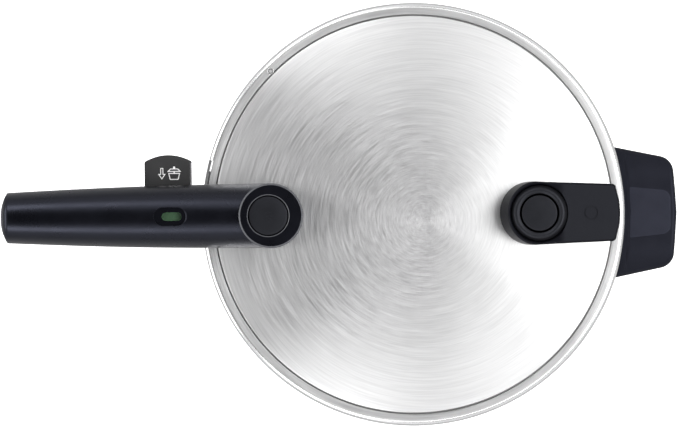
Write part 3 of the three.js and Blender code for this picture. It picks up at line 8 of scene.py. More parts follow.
import bpy
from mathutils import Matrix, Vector


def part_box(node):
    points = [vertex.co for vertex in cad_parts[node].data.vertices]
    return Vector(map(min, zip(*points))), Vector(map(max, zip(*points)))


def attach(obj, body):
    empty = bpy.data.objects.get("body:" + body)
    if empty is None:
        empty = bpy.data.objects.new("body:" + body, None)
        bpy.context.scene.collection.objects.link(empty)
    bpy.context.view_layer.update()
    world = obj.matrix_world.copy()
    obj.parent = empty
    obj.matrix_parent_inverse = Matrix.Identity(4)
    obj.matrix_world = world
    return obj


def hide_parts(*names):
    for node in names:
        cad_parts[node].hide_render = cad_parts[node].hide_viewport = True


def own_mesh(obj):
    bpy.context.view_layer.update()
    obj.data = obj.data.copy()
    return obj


bl_info = {"name": "Pressure cooker", "version": (1, 0, 0), "blender": (4, 5, 0),
    "location": "3D View > Sidebar > Cooker",
    "description": "Builds the visible pieces of a stovetop pressure cooker round its frame", "category": "Object"}

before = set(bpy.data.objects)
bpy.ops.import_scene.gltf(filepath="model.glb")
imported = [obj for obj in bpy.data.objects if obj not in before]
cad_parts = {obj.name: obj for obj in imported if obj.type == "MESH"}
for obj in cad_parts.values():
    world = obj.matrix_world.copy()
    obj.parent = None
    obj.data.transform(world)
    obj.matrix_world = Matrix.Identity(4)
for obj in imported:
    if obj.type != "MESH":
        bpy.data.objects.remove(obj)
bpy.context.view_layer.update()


def corners(node):
    """A node's lowest and highest corners in millimetres."""
    low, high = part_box(node)
    return low * 1000, high * 1000


def middle(node):
    """The middle of a node in plan, in millimetres."""
    low, high = corners(node)
    return (low.x + high.x) / 2, (low.y + high.y) / 2


# ------------------------------------------------------------------ places that the frame gives
LID_LOW, LID_HIGH = corners("lid_shell")
POT_LOW, POT_HIGH = corners("pot_shell")
HANDLE_LOW, HANDLE_HIGH = corners("handle_shell")
GRIP_LOW, GRIP_HIGH = corners("pot_grip")
UNIT_LOW, UNIT_HIGH = corners("unit_housing")
COLLAR_LOW, COLLAR_HIGH = corners("level_collar")
CAP_LOW, CAP_HIGH = corners("indicator_cap")
BUTTON_LOW, BUTTON_HIGH = corners("release_button")
SIDE_LOW, SIDE_HIGH = corners("side_grip")
SEAL_LOW, SEAL_HIGH = corners("seal_ring")
TAB_LOW, TAB_HIGH = corners("placing_tab")
GUARD_LOW, GUARD_HIGH = corners("flame_guard")
LENS_LOW, LENS_HIGH = corners("window_lens")
BASE_HIGH = corners("base_cap")[1]

LID_RADIUS = LID_HIGH.y
DOME_TOP = LID_HIGH.z
RIM_TOP = POT_HIGH.z
RING_TOP = RIM_TOP + 7.9
CREASE_RADIUS = LID_RADIUS - 8.6
DOME_EDGE = RING_TOP + 1.2
DOME_RISE = DOME_TOP - DOME_EDGE
DOME_RADIUS = (CREASE_RADIUS**2 + DOME_RISE**2) / (2 * DOME_RISE)
LID_SHEET = 1.9
SKIRT_INSIDE = LID_RADIUS - LID_SHEET
POT_RADIUS = POT_HIGH.x - 8.3

HEAD_RADIUS = HANDLE_HIGH.y
HEAD_X = HANDLE_HIGH.x - HEAD_RADIUS
HEAD_FACE = HANDLE_HIGH.z
HANDLE_UNDER = HANDLE_LOW.z
TIP_X = HANDLE_LOW.x
TIP_HALF = 16.8
CROWN = HEAD_FACE - 1.4
CROWN_SIDE = HANDLE_UNDER + 11.1
TIP_DROP = 5.0
HANDLE_BOW = 1.2
BUTTON_X = middle("release_button")[0]
BUTTON_RADIUS = (BUTTON_HIGH.y - BUTTON_LOW.y) / 2
WINDOW_X = middle("window_lens")[0]
RECESS_X = WINDOW_X - 1.4
BUTTON_GAP = 0.35
CAP_GAP = 0.8
DISH_FLOOR = CROWN - TIP_DROP * (HEAD_X - WINDOW_X) / (HEAD_X - TIP_X) - 1.6

KNOB_X = middle("level_collar")[0]
COLLAR_RADIUS = COLLAR_HIGH.y
CAP_RADIUS = CAP_HIGH.y
UNIT_RADIUS = UNIT_HIGH.y
UNIT_TOP = UNIT_HIGH.z
UNIT_OUTER_TOP = UNIT_TOP - 10
UNIT_LEAN = 5.4
UNIT_MARK_X = UNIT_HIGH.x - 19.8
UNIT_END_BULGE = 3.2
BORE_FLOOR = UNIT_TOP - 9


# ------------------------------------------------------------------ what a user may change
class CookerSizes(bpy.types.PropertyGroup):
    """Sizes of the visible details."""

    head_chamfer: bpy.props.FloatProperty(name="Head chamfer",
        description="Width of the chamfer round the lid handle's head", default=0.0011, unit="LENGTH")
    edge_round: bpy.props.FloatProperty(name="Grip edge", description="Radius of the moulded edges of the grips",
        default=0.0022, unit="LENGTH")
    window_rim: bpy.props.FloatProperty(name="Window rim",
        description="Width of the chamfer round the lock window's recess", default=0.0007, unit="LENGTH")
    shoulder: bpy.props.FloatProperty(name="Lid shoulder", description="Radius of the lid's outside edge",
        default=0.0040, unit="LENGTH")
    brush_centre: bpy.props.FloatVectorProperty(name="Brush centre",
        description="Where the lid's brushing turns round, from the lid's axis", default=(0.0065, -0.0037, 0.0),
        size=3, subtype="XYZ", unit="LENGTH")


class CookerColours(bpy.types.PropertyGroup):
    """Colours of the finishes."""

    steel: bpy.props.FloatVectorProperty(name="Steel", description="Brushed steel of the lid and the pot",
        default=(0.83, 0.83, 0.83, 1.0), size=4, subtype="COLOR")
    grip: bpy.props.FloatVectorProperty(name="Grips", description="Blue-black plastic of the handles",
        default=(0.0021, 0.0022, 0.0031, 1.0), size=4, subtype="COLOR")
    trim: bpy.props.FloatVectorProperty(name="Buttons",
        description="Matte plastic of the button, the cap and the collar", default=(0.0085, 0.0088, 0.0105, 1.0),
        size=4, subtype="COLOR")
    tab: bpy.props.FloatVectorProperty(name="Tab", description="Painted steel of the placing tab",
        default=(0.035, 0.035, 0.0355, 1.0), size=4, subtype="COLOR")
    silicone: bpy.props.FloatVectorProperty(name="Seal", description="Silicone of the sealing ring",
        default=(0.55, 0.57, 0.58, 1.0), size=4, subtype="COLOR")
    locked: bpy.props.FloatVectorProperty(name="Locked", description="Flag that shows when the lid is locked",
        default=(0.115, 0.25, 0.125, 1.0), size=4, subtype="COLOR")
    open: bpy.props.FloatVectorProperty(name="Open", description="Flag that shows when the lid is free to turn",
        default=(0.42, 0.03, 0.02, 1.0), size=4, subtype="COLOR")
    floor: bpy.props.FloatVectorProperty(name="Floor", description="The pale floor of the stage",
        default=(0.9, 0.9, 0.9, 1.0), size=4, subtype="COLOR")


# ------------------------------------------------------------------ mesh tools
def rounded(points, closed=False, steps=5):
    """Turns corners given as (x, z, radius) into arcs. A corner without a radius stays sharp."""
    out = []
    count = len(points)
    for i, point in enumerate(points):
        at = Vector(point[:2])
        radius = point[2] if len(point) > 2 else 0
        if not radius or (not closed and i in (0, count - 1)):
            out.append(tuple(at))
            continue
        before = Vector(points[i - 1][:2]) - at
        after = Vector(points[(i + 1) % count][:2]) - at
        angle = before.angle(after)
        reach = radius / math.tan(angle / 2)
        reach = min(reach, before.length * 0.49, after.length * 0.49)
        radius = reach * math.tan(angle / 2)
        start = at + before.normalized() * reach
        end = at + after.normalized() * reach
        hub = at + (before.normalized() + after.normalized()).normalized() * math.hypot(reach, radius)
        for step in range(steps + 1):
            way = (start - hub).lerp(end - hub, step / steps)
            out.append(tuple(hub + way.normalized() * radius))
    return out


def divided(path, parts):
    """Points along a path without its last one. Each stretch is cut into parts(a, b) parts."""
    out = []
    for a, b in zip(path, path[1:]):
        count = max(1, int(parts(a, b)))
        out += [(a[0] + (b[0] - a[0]) * i / count, a[1] + (b[1] - a[1]) * i / count) for i in range(count)]
    return out


def quarter(steps):
    """Angles from 0 to a right angle."""
    return [math.pi / 2 * i / steps for i in range(steps + 1)]


def bands(rings, count):
    """The faces between rings of vertices that follow one another."""
    faces = []
    for ring in range(rings - 1):
        for i in range(count):
            j = (i + 1) % count
            a, b = ring * count, (ring + 1) * count
            faces.append((a + i, a + j, b + j, b + i))
    return faces


def lathe(profile, x=0.0, y=0.0, segments=96):
    """Turns a profile of (radius, z) round the vertical through (x, y)."""
    verts, rows = [], []
    for radius, z in profile:
        if radius < 1e-6:
            rows.append([len(verts)])
            verts.append((x, y, z))
            continue
        rows.append(list(range(len(verts), len(verts) + segments)))
        for i in range(segments):
            angle = 2 * math.pi * i / segments
            verts.append((x + radius * math.cos(angle), y + radius * math.sin(angle), z))
    open_ended = len(rows[0]) == 1 and len(rows[-1]) == 1
    pairs = list(zip(rows, rows[1:]))
    if not open_ended:
        pairs.append((rows[-1], rows[0]))
    faces = []
    for low, high in pairs:
        for i in range(segments):
            j = (i + 1) % segments
            if len(low) == 1 and len(high) == 1:
                continue
            if len(low) == 1:
                faces.append((low[0], high[j], high[i]))
            elif len(high) == 1:
                faces.append((low[i], low[j], high[0]))
            else:
                faces.append((low[i], low[j], high[j], high[i]))
    return verts, faces


def prism(outline, low, high, edge=0.0, steps=3):
    """Stands a closed outline up between two heights, with its top and bottom edges rounded by `edge`."""
    area = sum(a[0] * b[1] - b[0] * a[1] for a, b in zip(outline, outline[1:] + outline[:1]))
    if area < 0:
        outline = outline[::-1]
    count = len(outline)
    normals = []
    for i in range(count):
        way = Vector(outline[(i + 1) % count]) - Vector(outline[i - 1])
        normals.append(Vector((way.y, -way.x)).normalized())
    rings = [(0.0, low), (0.0, high)]
    if edge:
        rings = [(edge * (1 - math.sin(a)), low + edge * (1 - math.cos(a))) for a in quarter(steps)]
        rings += [(edge * (1 - math.cos(a)), high - edge * (1 - math.sin(a))) for a in quarter(steps)]
    verts = []
    for inset, z in rings:
        verts += [(p[0] - n.x * inset, p[1] - n.y * inset, z) for p, n in zip(outline, normals)]
    ends = [tuple(reversed(range(count))), tuple(range(len(verts) - count, len(verts)))]
    return verts, bands(len(rings), count) + ends


def moulded(half, rings, across=14):
    """A closed body that is the same on both sides of y = 0.

    `half` is its outline from one end to the other on the +Y side. Each ring is (inset, height), where height is a
    function of x and y. The first and last rings are closed by a face that follows their own heights.
    """
    count = len(half)
    normals = []
    for i in range(count):
        if i in (0, count - 1):
            normals.append(Vector((-1 if i == 0 else 1, 0)))
            continue
        way = Vector(half[i + 1]) - Vector(half[i - 1])
        normals.append(Vector((-way.y, way.x)).normalized())
    verts, loops = [], []
    for inset, height in rings:
        upper = []
        for (x, y), normal in zip(half, normals):
            px = x - normal.x * inset
            py = max(y - normal.y * inset, 0)
            upper.append((px, py))
        upper[0] = (upper[0][0], 0)
        upper[-1] = (upper[-1][0], 0)
        path = upper + [(x, -y) for x, y in reversed(upper[1:-1])]
        loops.append(list(range(len(verts), len(verts) + len(path))))
        verts += [(x, y, height(x, y)) for x, y in path]
    size = len(loops[0])
    faces = []
    for low, high in zip(loops, loops[1:]):
        for i in range(size):
            j = (i + 1) % size
            faces.append((low[i], high[i], high[j], low[j]))
    for which, flip in ((0, True), (-1, False)):
        loop, height = loops[which], rings[which][1]
        rows = []
        for i in range(count):
            if i in (0, count - 1):
                rows.append([loop[i]])
                continue
            x, y, _ = verts[loop[i]]
            row = [loop[i]]
            for step in range(1, across):
                py = y * math.cos(math.pi * step / across)
                row.append(len(verts))
                verts.append((x, py, height(x, py)))
            row.append(loop[size - i])
            rows.append(row)
        for a, b in zip(rows, rows[1:]):
            for step in range(across):
                if len(a) == 1:
                    face = (a[0], b[step + 1], b[step])
                elif len(b) == 1:
                    face = (a[step], a[step + 1], b[0])
                else:
                    face = (a[step], a[step + 1], b[step + 1], b[step])
                faces.append(tuple(reversed(face)) if flip else face)
    return verts, faces


def box_mesh(low, high):
    """A plain block, used only to cut others."""
    return prism([(low[0], low[1]), (high[0], low[1]), (high[0], high[1]), (low[0], high[1])], low[2], high[2])


def slot_outline(x, y, length, width, steps=14):
    """A rounded bar's outline, `length` along X."""
    radius = width / 2
    reach = length / 2 - radius
    out = []
    for side in (1, -1):
        for step in range(steps + 1):
            angle = math.pi * step / steps - math.pi / 2 + (0 if side == 1 else math.pi)
            out.append((x + side * reach + radius * math.cos(angle), y + radius * math.sin(angle)))
    return out


def flared(outline, centre, low, high, flare):
    """A cutter whose walls open outwards over its top `flare`, which leaves a chamfer."""
    count = len(outline)
    grow = []
    for x, y in outline:
        way = Vector((x - centre[0], y - centre[1]))
        grow.append(way.normalized())
    verts = [(x, y, low) for x, y in outline]
    verts += [(x, y, high - flare) for x, y in outline]
    verts += [(x + g.x * flare * 2, y + g.y * flare * 2, high + flare) for (x, y), g in zip(outline, grow)]
    return verts, [tuple(reversed(range(count))), tuple(range(2 * count, 3 * count))] + bands(3, count)


def sector(inner, outer, start, end, low, high, corner=1.2, edge=0.5):
    """A piece of a flat ring between two angles in degrees, with rounded corners."""
    middle_radius = (inner + outer) / 2
    span = math.radians(end - start) * middle_radius
    steps = 28
    side = [(0, inner), (span, inner), (span, outer, corner), (0, outer, corner)]
    path = rounded(side, closed=True, steps=4)

    def parts(a, b):
        return Vector((b[0] - a[0], b[1] - a[1])).length / span * steps

    outline = []
    for along, radius in divided(path + path[:1], parts):
        angle = math.radians(start) + along / middle_radius
        outline.append((radius * math.cos(angle), radius * math.sin(angle)))
    return prism(outline, low, high, edge)


def mesh_object(name, shape):
    """A mesh object from vertices in millimetres and faces."""
    verts, faces = shape
    mesh = bpy.data.meshes.new(name)
    mesh.from_pydata([(x / 1000, y / 1000, z / 1000) for x, y, z in verts], [], faces)
    mesh.update()
    piece = bpy.data.objects.new(name, mesh)
    bpy.context.scene.collection.objects.link(piece)
    return piece


def combined(piece, shapes, operation):
    """Adds shapes to a piece or cuts them from it, one after the other."""
    for shape in shapes:
        tool = mesh_object("tool", shape)
        change = piece.modifiers.new("change", "BOOLEAN")
        change.operation = operation
        change.solver = "MANIFOLD"
        change.object = tool
        bpy.context.view_layer.update()
        graph = bpy.context.evaluated_depsgraph_get()
        result = bpy.data.meshes.new_from_object(piece.evaluated_get(graph))
        if not result.polygons:
            raise RuntimeError(f"{piece.name}: nothing is left after a cut")
        piece.modifiers.clear()
        old = piece.data
        piece.data = result
        bpy.data.meshes.remove(old)
        tool_mesh = tool.data
        bpy.data.objects.remove(tool)
        bpy.data.meshes.remove(tool_mesh)


def taken(piece):
    """Takes a piece away and gives back its shape."""
    verts = [(v.co.x * 1000, v.co.y * 1000, v.co.z * 1000) for v in piece.data.vertices]
    faces = [tuple(face.vertices) for face in piece.data.polygons]
    bpy.data.objects.remove(piece)
    return verts, faces


def finished(piece, body, nodes, material, crease=32):
    """Shades a piece, gives it its material and puts it on its body in place of CAD nodes."""
    mesh = piece.data
    mesh.shade_smooth()
    mesh.set_sharp_from_angle(angle=math.radians(crease))
    mesh.materials.clear()
    mesh.materials.append(material)
    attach(piece, body)
    if nodes:
        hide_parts(*nodes)
    return piece


def make(name, shape, body, nodes, material, add=(), cut=(), crease=32):
    """Builds one piece from a shape, with shapes added and cut away."""
    piece = mesh_object(name, shape)
    combined(piece, add, "UNION")
    combined(piece, cut, "DIFFERENCE")
    return finished(piece, body, nodes, material, crease)


# ------------------------------------------------------------------ shader groups
def feed(tree, node, *values, **named):
    """Links sockets to a node's inputs, or sets plain values on them, by place or by name."""
    for key, value in [*enumerate(values), *named.items()]:
        socket = node.inputs[key.replace("_", " ") if isinstance(key, str) else key]
        if isinstance(value, bpy.types.NodeSocket):
            tree.links.new(value, socket)
        else:
            socket.default_value = value
    return node


def add_node(tree, kind, *values, operation=None, **named):
    """A new shader node with its inputs fed."""
    node = tree.nodes.new("ShaderNode" + kind)
    if operation:
        node.operation = operation
    return feed(tree, node, *values, **named)


def new_group(name, inputs, outputs):
    """An empty shader group. Inputs are (name, kind, default) and outputs are the names of numbers."""
    group = bpy.data.node_groups.new(name, "ShaderNodeTree")
    for label, kind, value in inputs:
        socket = group.interface.new_socket(label, in_out="INPUT", socket_type="NodeSocket" + kind)
        socket.default_value = value
    for label in outputs:
        group.interface.new_socket(label, in_out="OUTPUT", socket_type="NodeSocketFloat")
    return group, group.nodes.new("NodeGroupInput").outputs, group.nodes.new("NodeGroupOutput").inputs


def math_node(tree, kind, *values):
    """What a Math node puts out."""
    return add_node(tree, "Math", *values, operation=kind).outputs[0]


def noise_node(tree, vector, scale, detail, rough):
    """A noise over a vector."""
    return add_node(tree, "TexNoise", Vector=vector, Scale=scale, Detail=detail, Roughness=rough).outputs["Fac"]


def round_brush_group():
    """Brushing in circles round a centre: a fine and a broad streak value, and a height for a bump."""
    tree, given, out = new_group("round_brush",
        [("Position", "Vector", (0, 0, 0)), ("Centre", "Vector", (0, 0, 0)), ("Fineness", "Float", 1.0)],
        ["Streak", "Broad", "Height"])
    away = add_node(tree, "VectorMath", given["Position"], given["Centre"], operation="SUBTRACT")
    x, y, _ = add_node(tree, "SeparateXYZ", away.outputs[0]).outputs
    squares = [math_node(tree, "MULTIPLY", way, way) for way in (x, y)]
    radius = math_node(tree, "SQRT", math_node(tree, "ADD", *squares))
    angle = math_node(tree, "ARCTAN2", y, x)

    def streaks(per_radius, per_angle, detail):
        along = math_node(tree, "MULTIPLY", radius, math_node(tree, "MULTIPLY", given["Fineness"], per_radius))
        turn = [math_node(tree, "MULTIPLY", math_node(tree, kind, angle), per_angle) for kind in ("SINE", "COSINE")]
        vector = add_node(tree, "CombineXYZ", along, *turn)
        return noise_node(tree, vector.outputs[0], 1.0, detail, 0.6)

    fine = streaks(1800.0, 4.5, 4.0)
    broad = streaks(760.0, 2.2, 3.0)
    tree.links.new(fine, out["Streak"])
    tree.links.new(broad, out["Broad"])
    tree.links.new(math_node(tree, "ADD", fine, math_node(tree, "MULTIPLY", broad, 0.35)), out["Height"])
    return tree


def fine_grain_group():
    """The fine grain of moulded plastic or paint: a height, and a slow mask of handling marks."""
    tree, given, out = new_group("fine_grain", [("Position", "Vector", (0, 0, 0)), ("Grain size", "Float", 1.0)],
        ["Height", "Marks"])
    size = math_node(tree, "DIVIDE", 1.0, given["Grain size"])
    scaled = add_node(tree, "VectorMath", given["Position"], Scale=size, operation="SCALE")
    tree.links.new(noise_node(tree, scaled.outputs[0], 2600.0, 2.0, 0.6), out["Height"])
    tree.links.new(noise_node(tree, given["Position"], 55.0, 4.0, 0.55), out["Marks"])
    return tree


def drawn_lines_group():
    """Straight brushing along one axis, as on drawn or ground strip: a streak value."""
    tree, given, out = new_group("drawn_lines",
        [("Position", "Vector", (0, 0, 0)), ("Stretch", "Vector", (40, 1800, 1800))], ["Streak"])
    scaled = add_node(tree, "VectorMath", given["Position"], given["Stretch"], operation="MULTIPLY")
    tree.links.new(noise_node(tree, scaled.outputs[0], 1.0, 3.0, 0.6), out["Streak"])
    return tree


# ------------------------------------------------------------------ materials
class Finish:
    """A material with one Principled BSDF, and its tools."""

    def __init__(self, name):
        self.material = bpy.data.materials.new(name)
        self.material.use_nodes = True
        self.tree = self.material.node_tree
        self.shader = self.tree.nodes["Principled BSDF"]
        self.place = self.tree.nodes.new("ShaderNodeTexCoord").outputs["Object"]

    def set(self, **values):
        """Sets plain values on the shader."""
        feed(self.tree, self.shader, **values)
        return self

    def group(self, group, **values):
        """What a shader group puts out over this material's place."""
        node = self.tree.nodes.new("ShaderNodeGroup")
        node.node_tree = group
        return feed(self.tree, node, Position=self.place, **values).outputs

    def ranged(self, value, low, high, from_low=0.3, from_high=0.7):
        """A value moved from one range to another."""
        node = add_node(self.tree, "MapRange", Value=value, From_Min=from_low, From_Max=from_high, To_Min=low,
            To_Max=high)
        return node.outputs["Result"]

    def tinted(self, value, dark, light):
        """A colour between two, by a mask."""
        node = self.tree.nodes.new("ShaderNodeMix")
        node.data_type = "RGBA"
        first, second = [socket for socket in node.inputs if socket.type == "RGBA"]
        first.default_value, second.default_value = dark, light
        self.tree.links.new(value, node.inputs["Factor"])
        colour = [socket for socket in node.outputs if socket.type == "RGBA"][0]
        self.tree.links.new(colour, self.shader.inputs["Base Color"])

    def rough(self, value):
        """Takes the roughness from a value."""
        self.tree.links.new(value, self.shader.inputs["Roughness"])

    def bump(self, height, strength, distance):
        """Takes the small relief from a height."""
        node = add_node(self.tree, "Bump", Height=height, Strength=strength, Distance=distance)
        self.tree.links.new(node.outputs["Normal"], self.shader.inputs["Normal"])


def shade(colour, factor):
    """A colour made darker or lighter."""
    return (colour[0] * factor, colour[1] * factor, colour[2] * factor, 1.0)


def across_brush(finish, centre):
    """The direction across circular brushing, in which the shine spreads."""
    tree = finish.tree
    away = add_node(tree, "VectorMath", finish.place, centre, operation="SUBTRACT")
    unit = add_node(tree, "VectorMath", away.outputs[0], operation="NORMALIZE")
    tree.links.new(unit.outputs[0], finish.shader.inputs["Tangent"])


def brushed_steel(name, colour, centre, roughness, anisotropic, fineness=1.0, depth=0.1):
    """Steel brushed in circles round a centre."""
    finish = Finish(name).set(Metallic=1.0, Anisotropic=anisotropic)
    brush = finish.group(GROUPS["round_brush"], Centre=centre, Fineness=fineness)
    mixed = math_node(finish.tree, "ADD", brush["Streak"], brush["Broad"])
    finish.tinted(finish.ranged(mixed, 0, 1, 0.7, 1.3), shade(colour, 0.88), shade(colour, 1.06))
    finish.rough(finish.ranged(brush["Streak"], roughness - 0.06, roughness + 0.06))
    finish.bump(brush["Height"], depth, 0.00005)
    across_brush(finish, centre)
    return finish.material


def drawn_steel(name, colour, roughness, stretch, metallic=1.0):
    """Steel or aluminium with straight fine lines."""
    finish = Finish(name).set(Metallic=metallic)
    lines = finish.group(GROUPS["drawn_lines"], Stretch=stretch)
    finish.tinted(finish.ranged(lines["Streak"], 0, 1), shade(colour, 0.88), shade(colour, 1.05))
    finish.rough(finish.ranged(lines["Streak"], roughness - 0.06, roughness + 0.06))
    finish.bump(lines["Streak"], 0.12, 0.00004)
    return finish.material


def moulded_plastic(name, colour, roughness, grain=1.0, depth=0.25, specular=0.5, sheen=0.0, tint=(1, 1, 1, 1)):
    """Plastic or rubber from a textured mould, rubbed a little smoother where it is held."""
    finish = Finish(name).set(Specular_IOR_Level=specular, Specular_Tint=tint)
    finish.set(Sheen_Weight=sheen, Sheen_Roughness=0.4)
    skin = finish.group(GROUPS["fine_grain"], Grain_size=grain)
    finish.tinted(finish.ranged(skin["Marks"], 0, 1), shade(colour, 0.9), shade(colour, 1.12))
    finish.rough(finish.ranged(skin["Marks"], roughness - 0.035, roughness + 0.035))
    finish.bump(skin["Height"], depth, 0.00003)
    return finish.material


GROUPS = {}
LOOKS = {}


def build_finishes(colours, sizes):
    """Makes the shader groups and every finish."""
    GROUPS["round_brush"] = round_brush_group()
    GROUPS["fine_grain"] = fine_grain_group()
    GROUPS["drawn_lines"] = drawn_lines_group()
    steel = tuple(colours.steel)
    axis = (0.0, 0.0, 0.0)
    centre = tuple(sizes.brush_centre)
    LOOKS["lid_dome"] = brushed_steel("lid_dome", steel, centre, 0.4, 0.66)
    LOOKS["lid_ring"] = brushed_steel("lid_ring", shade(steel, 0.97), axis, 0.42, 0.7, depth=0.03)
    # The steel in the lid's crease groove and in the rivet's groove is darkened to under half: painted shade in
    # these grooves.
    LOOKS["lid_groove_painted_shade"] = brushed_steel("lid_groove_painted_shade", shade(steel, 0.42), axis, 0.5, 0.0, depth=0.02)
    LOOKS["lid_polish"] = brushed_steel("lid_polish", shade(steel, 1.08), axis, 0.2, 0.0, depth=0.02)
    LOOKS["pot_wall"] = brushed_steel("pot_wall", steel, axis, 0.3, 0.6, fineness=0.4, depth=0.05)
    LOOKS["pot_base"] = brushed_steel("pot_base", shade(steel, 0.95), axis, 0.33, 0.7)
    LOOKS["bright"] = drawn_steel("bright_steel", (0.78, 0.78, 0.79), 0.2, (900, 900, 200))
    LOOKS["satin"] = drawn_steel("satin_steel", (0.6, 0.6, 0.61), 0.34, (60, 1500, 1500))
    LOOKS["aluminium"] = drawn_steel("core_aluminium", (0.62, 0.63, 0.64), 0.45, (500, 500, 500))
    LOOKS["wire"] = drawn_steel("spring_wire", (0.5, 0.5, 0.52), 0.28, (700, 700, 700))
    grip, trim = tuple(colours.grip), tuple(colours.trim)
    cool, cooler = (0.84, 0.87, 1.0, 1.0), (0.72, 0.76, 1.0, 1.0)
    LOOKS["grip"] = moulded_plastic("grip_plastic", grip, 0.29, specular=0.4, tint=cooler)
    LOOKS["unit"] = moulded_plastic("unit_plastic", shade(grip, 1.9), 0.36, specular=0.11, tint=cool)
    LOOKS["side"] = moulded_plastic("side_plastic", shade(grip, 4.6), 0.4, specular=0.14, tint=cooler)
    LOOKS["pad"] = moulded_plastic("pad_plastic", shade(grip, 9.0), 0.46, grain=0.8, specular=0.18, tint=cooler)
    # A much lighter plastic for the chamfers round the handle's head and button well: a painted highlight on these
    # edges.
    LOOKS["edge"] = moulded_plastic("edge_painted_highlight", (0.085, 0.088, 0.098, 1), 0.35, grain=0.8)
    LOOKS["trim"] = moulded_plastic("trim_plastic", trim, 0.44, grain=0.8, specular=0.28, tint=cool)
    LOOKS["tab"] = moulded_plastic("tab_paint", tuple(colours.tab), 0.45, grain=0.7, depth=0.1, specular=0.3)
    LOOKS["mark"] = moulded_plastic("tab_mark", (0.9, 0.9, 0.89, 1), 0.5, grain=0.5, depth=0.1)
    LOOKS["silicone"] = moulded_plastic("seal_silicone", tuple(colours.silicone), 0.55, depth=0.1, sheen=0.15)
    LOOKS["float_rubber"] = moulded_plastic("float_rubber", (0.2, 0.2, 0.21, 1), 0.6, depth=0.1, sheen=0.1)
    LOOKS["locked"] = moulded_plastic("flag_green", tuple(colours.locked), 0.45, depth=0.08)
    LOOKS["open"] = moulded_plastic("flag_red", tuple(colours.open), 0.45, depth=0.08)
    lens = Finish("clear_window").set(Roughness=0.12, IOR=1.49, Alpha=0.16)
    skin = lens.group(GROUPS["fine_grain"], Grain_size=4.0)
    lens.tinted(lens.ranged(skin["Marks"], 0, 1), (0.02, 0.024, 0.022, 1), (0.03, 0.034, 0.032, 1))
    lens.bump(skin["Marks"], 0.02, 0.0001)
    LOOKS["lens"] = lens.material


def dress(node, look):
    """Gives a CAD node that stays its finish."""
    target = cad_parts[node]
    target.data.materials.clear()
    target.data.materials.append(LOOKS[look])


# ------------------------------------------------------------------ shapes of the lid and the pot
def dome(radius):
    """Height of the lid's outside at a radius, inside the crease."""
    return DOME_TOP - DOME_RADIUS + math.sqrt(DOME_RADIUS**2 - radius**2)


def under_lid(lift):
    """Everything below a surface that lies `lift` over the lid."""
    top = [(CREASE_RADIUS * i / 24, dome(CREASE_RADIUS * i / 24) + lift) for i in range(24, -1, -1)]
    edge = LID_RADIUS + max(lift, 0.3)
    rim = [(0, 0), (edge, 0), (edge, RING_TOP + lift), (CREASE_RADIUS + 0.6 + lift, RING_TOP + lift)]
    return lathe(rim + top, segments=192)


def rod(radius, low, high, x=0.0, y=0.0, segments=64):
    """A plain round cutter."""
    return lathe([(0, low), (radius, low), (radius, high), (0, high)], x, y, segments)


def spring(name, node, along, fixed_low, turns, wire=0.4):
    """A coil spring in place of a CAD one."""
    low, high = corners(node)
    axis = "xyz".index(along)
    first, second = [i for i in range(3) if i != axis]
    hub = (low + high) / 2
    length = high[axis] - low[axis]
    radius = (high[first] - low[first]) / 2 - wire
    sides, steps = 8, int(turns * 20)
    verts, faces = [], []
    for i in range(steps + 1):
        angle = 2 * math.pi * turns * i / steps
        rise = low[axis] + wire + (length - 2 * wire) * i / steps
        for side in range(sides):
            round_wire = 2 * math.pi * side / sides
            reach = radius + wire * math.cos(round_wire)
            point = [0.0, 0.0, 0.0]
            point[first] = hub[first] + reach * math.cos(angle)
            point[second] = hub[second] + reach * math.sin(angle)
            point[axis] = rise + wire * math.sin(round_wire)
            verts.append(tuple(point))
    for i in range(steps):
        for side in range(sides):
            a, b = i * sides, (i + 1) * sides
            j = (side + 1) % sides
            faces.append((a + side, b + side, b + j, a + j))
    faces.append(tuple(range(sides)))
    faces.append(tuple(reversed(range(steps * sides, (steps + 1) * sides))))
    piece = make(name, (verts, faces), "lid", [node], LOOKS["wire"], crease=50)
    way = Vector((0, 0, 0))
    way[axis] = 1
    anchor = hub / 1000
    anchor[axis] = (low if fixed_low else high)[axis] / 1000
    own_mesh(piece)


def turned(name, node, at, look, profile, body="lid", segments=64, closed=True, cut=()):
    """A turned fitting in place of a CAD node. Its profile is a function of the node's two heights."""
    low, high = corners(node)
    shape = lathe(rounded(profile(low.z, high.z), closed=closed), *at, segments)
    make(name, shape, body, [node], LOOKS[look], cut=cut)


def screw(node, body, up=True):
    """A pan head screw with a crossed recess, in place of a CAD screw."""
    low, high = corners(node)
    x, y = middle(node)
    head = (high.x - low.x) / 2
    shank = 1.7
    if up:
        face, reach = low.z, high.z
        outline = [(0, face), (head * 0.8, face + 0.15, 1.0), (head, face + 1.0, 0.5), (head, face + 1.6, 0.15)]
        outline += [(shank, face + 1.6), (shank, reach - shank), (0, reach)]
        slots = (face - 1, face + 0.95)
    else:
        face, reach = high.z, low.z
        outline = [(0, reach), (shank, reach + shank), (shank, face - 0.8), (head, face - 0.8, 0.15)]
        outline += [(head * 0.8, face - 0.1, 0.8), (0, face)]
        slots = (face - 0.5, face + 1)
    arm = head * 0.6
    cuts = [prism(slot_outline(x, y, 2 * arm, 0.7, 4), *slots),
        prism([(x + (b - y), y + (a - x)) for a, b in slot_outline(x, y, 2 * arm, 0.7, 4)], *slots)]
    shape = lathe(rounded(outline), x, y, 48)
    make("cross_" + node, shape, body, [node], LOOKS["bright"], cut=cuts)


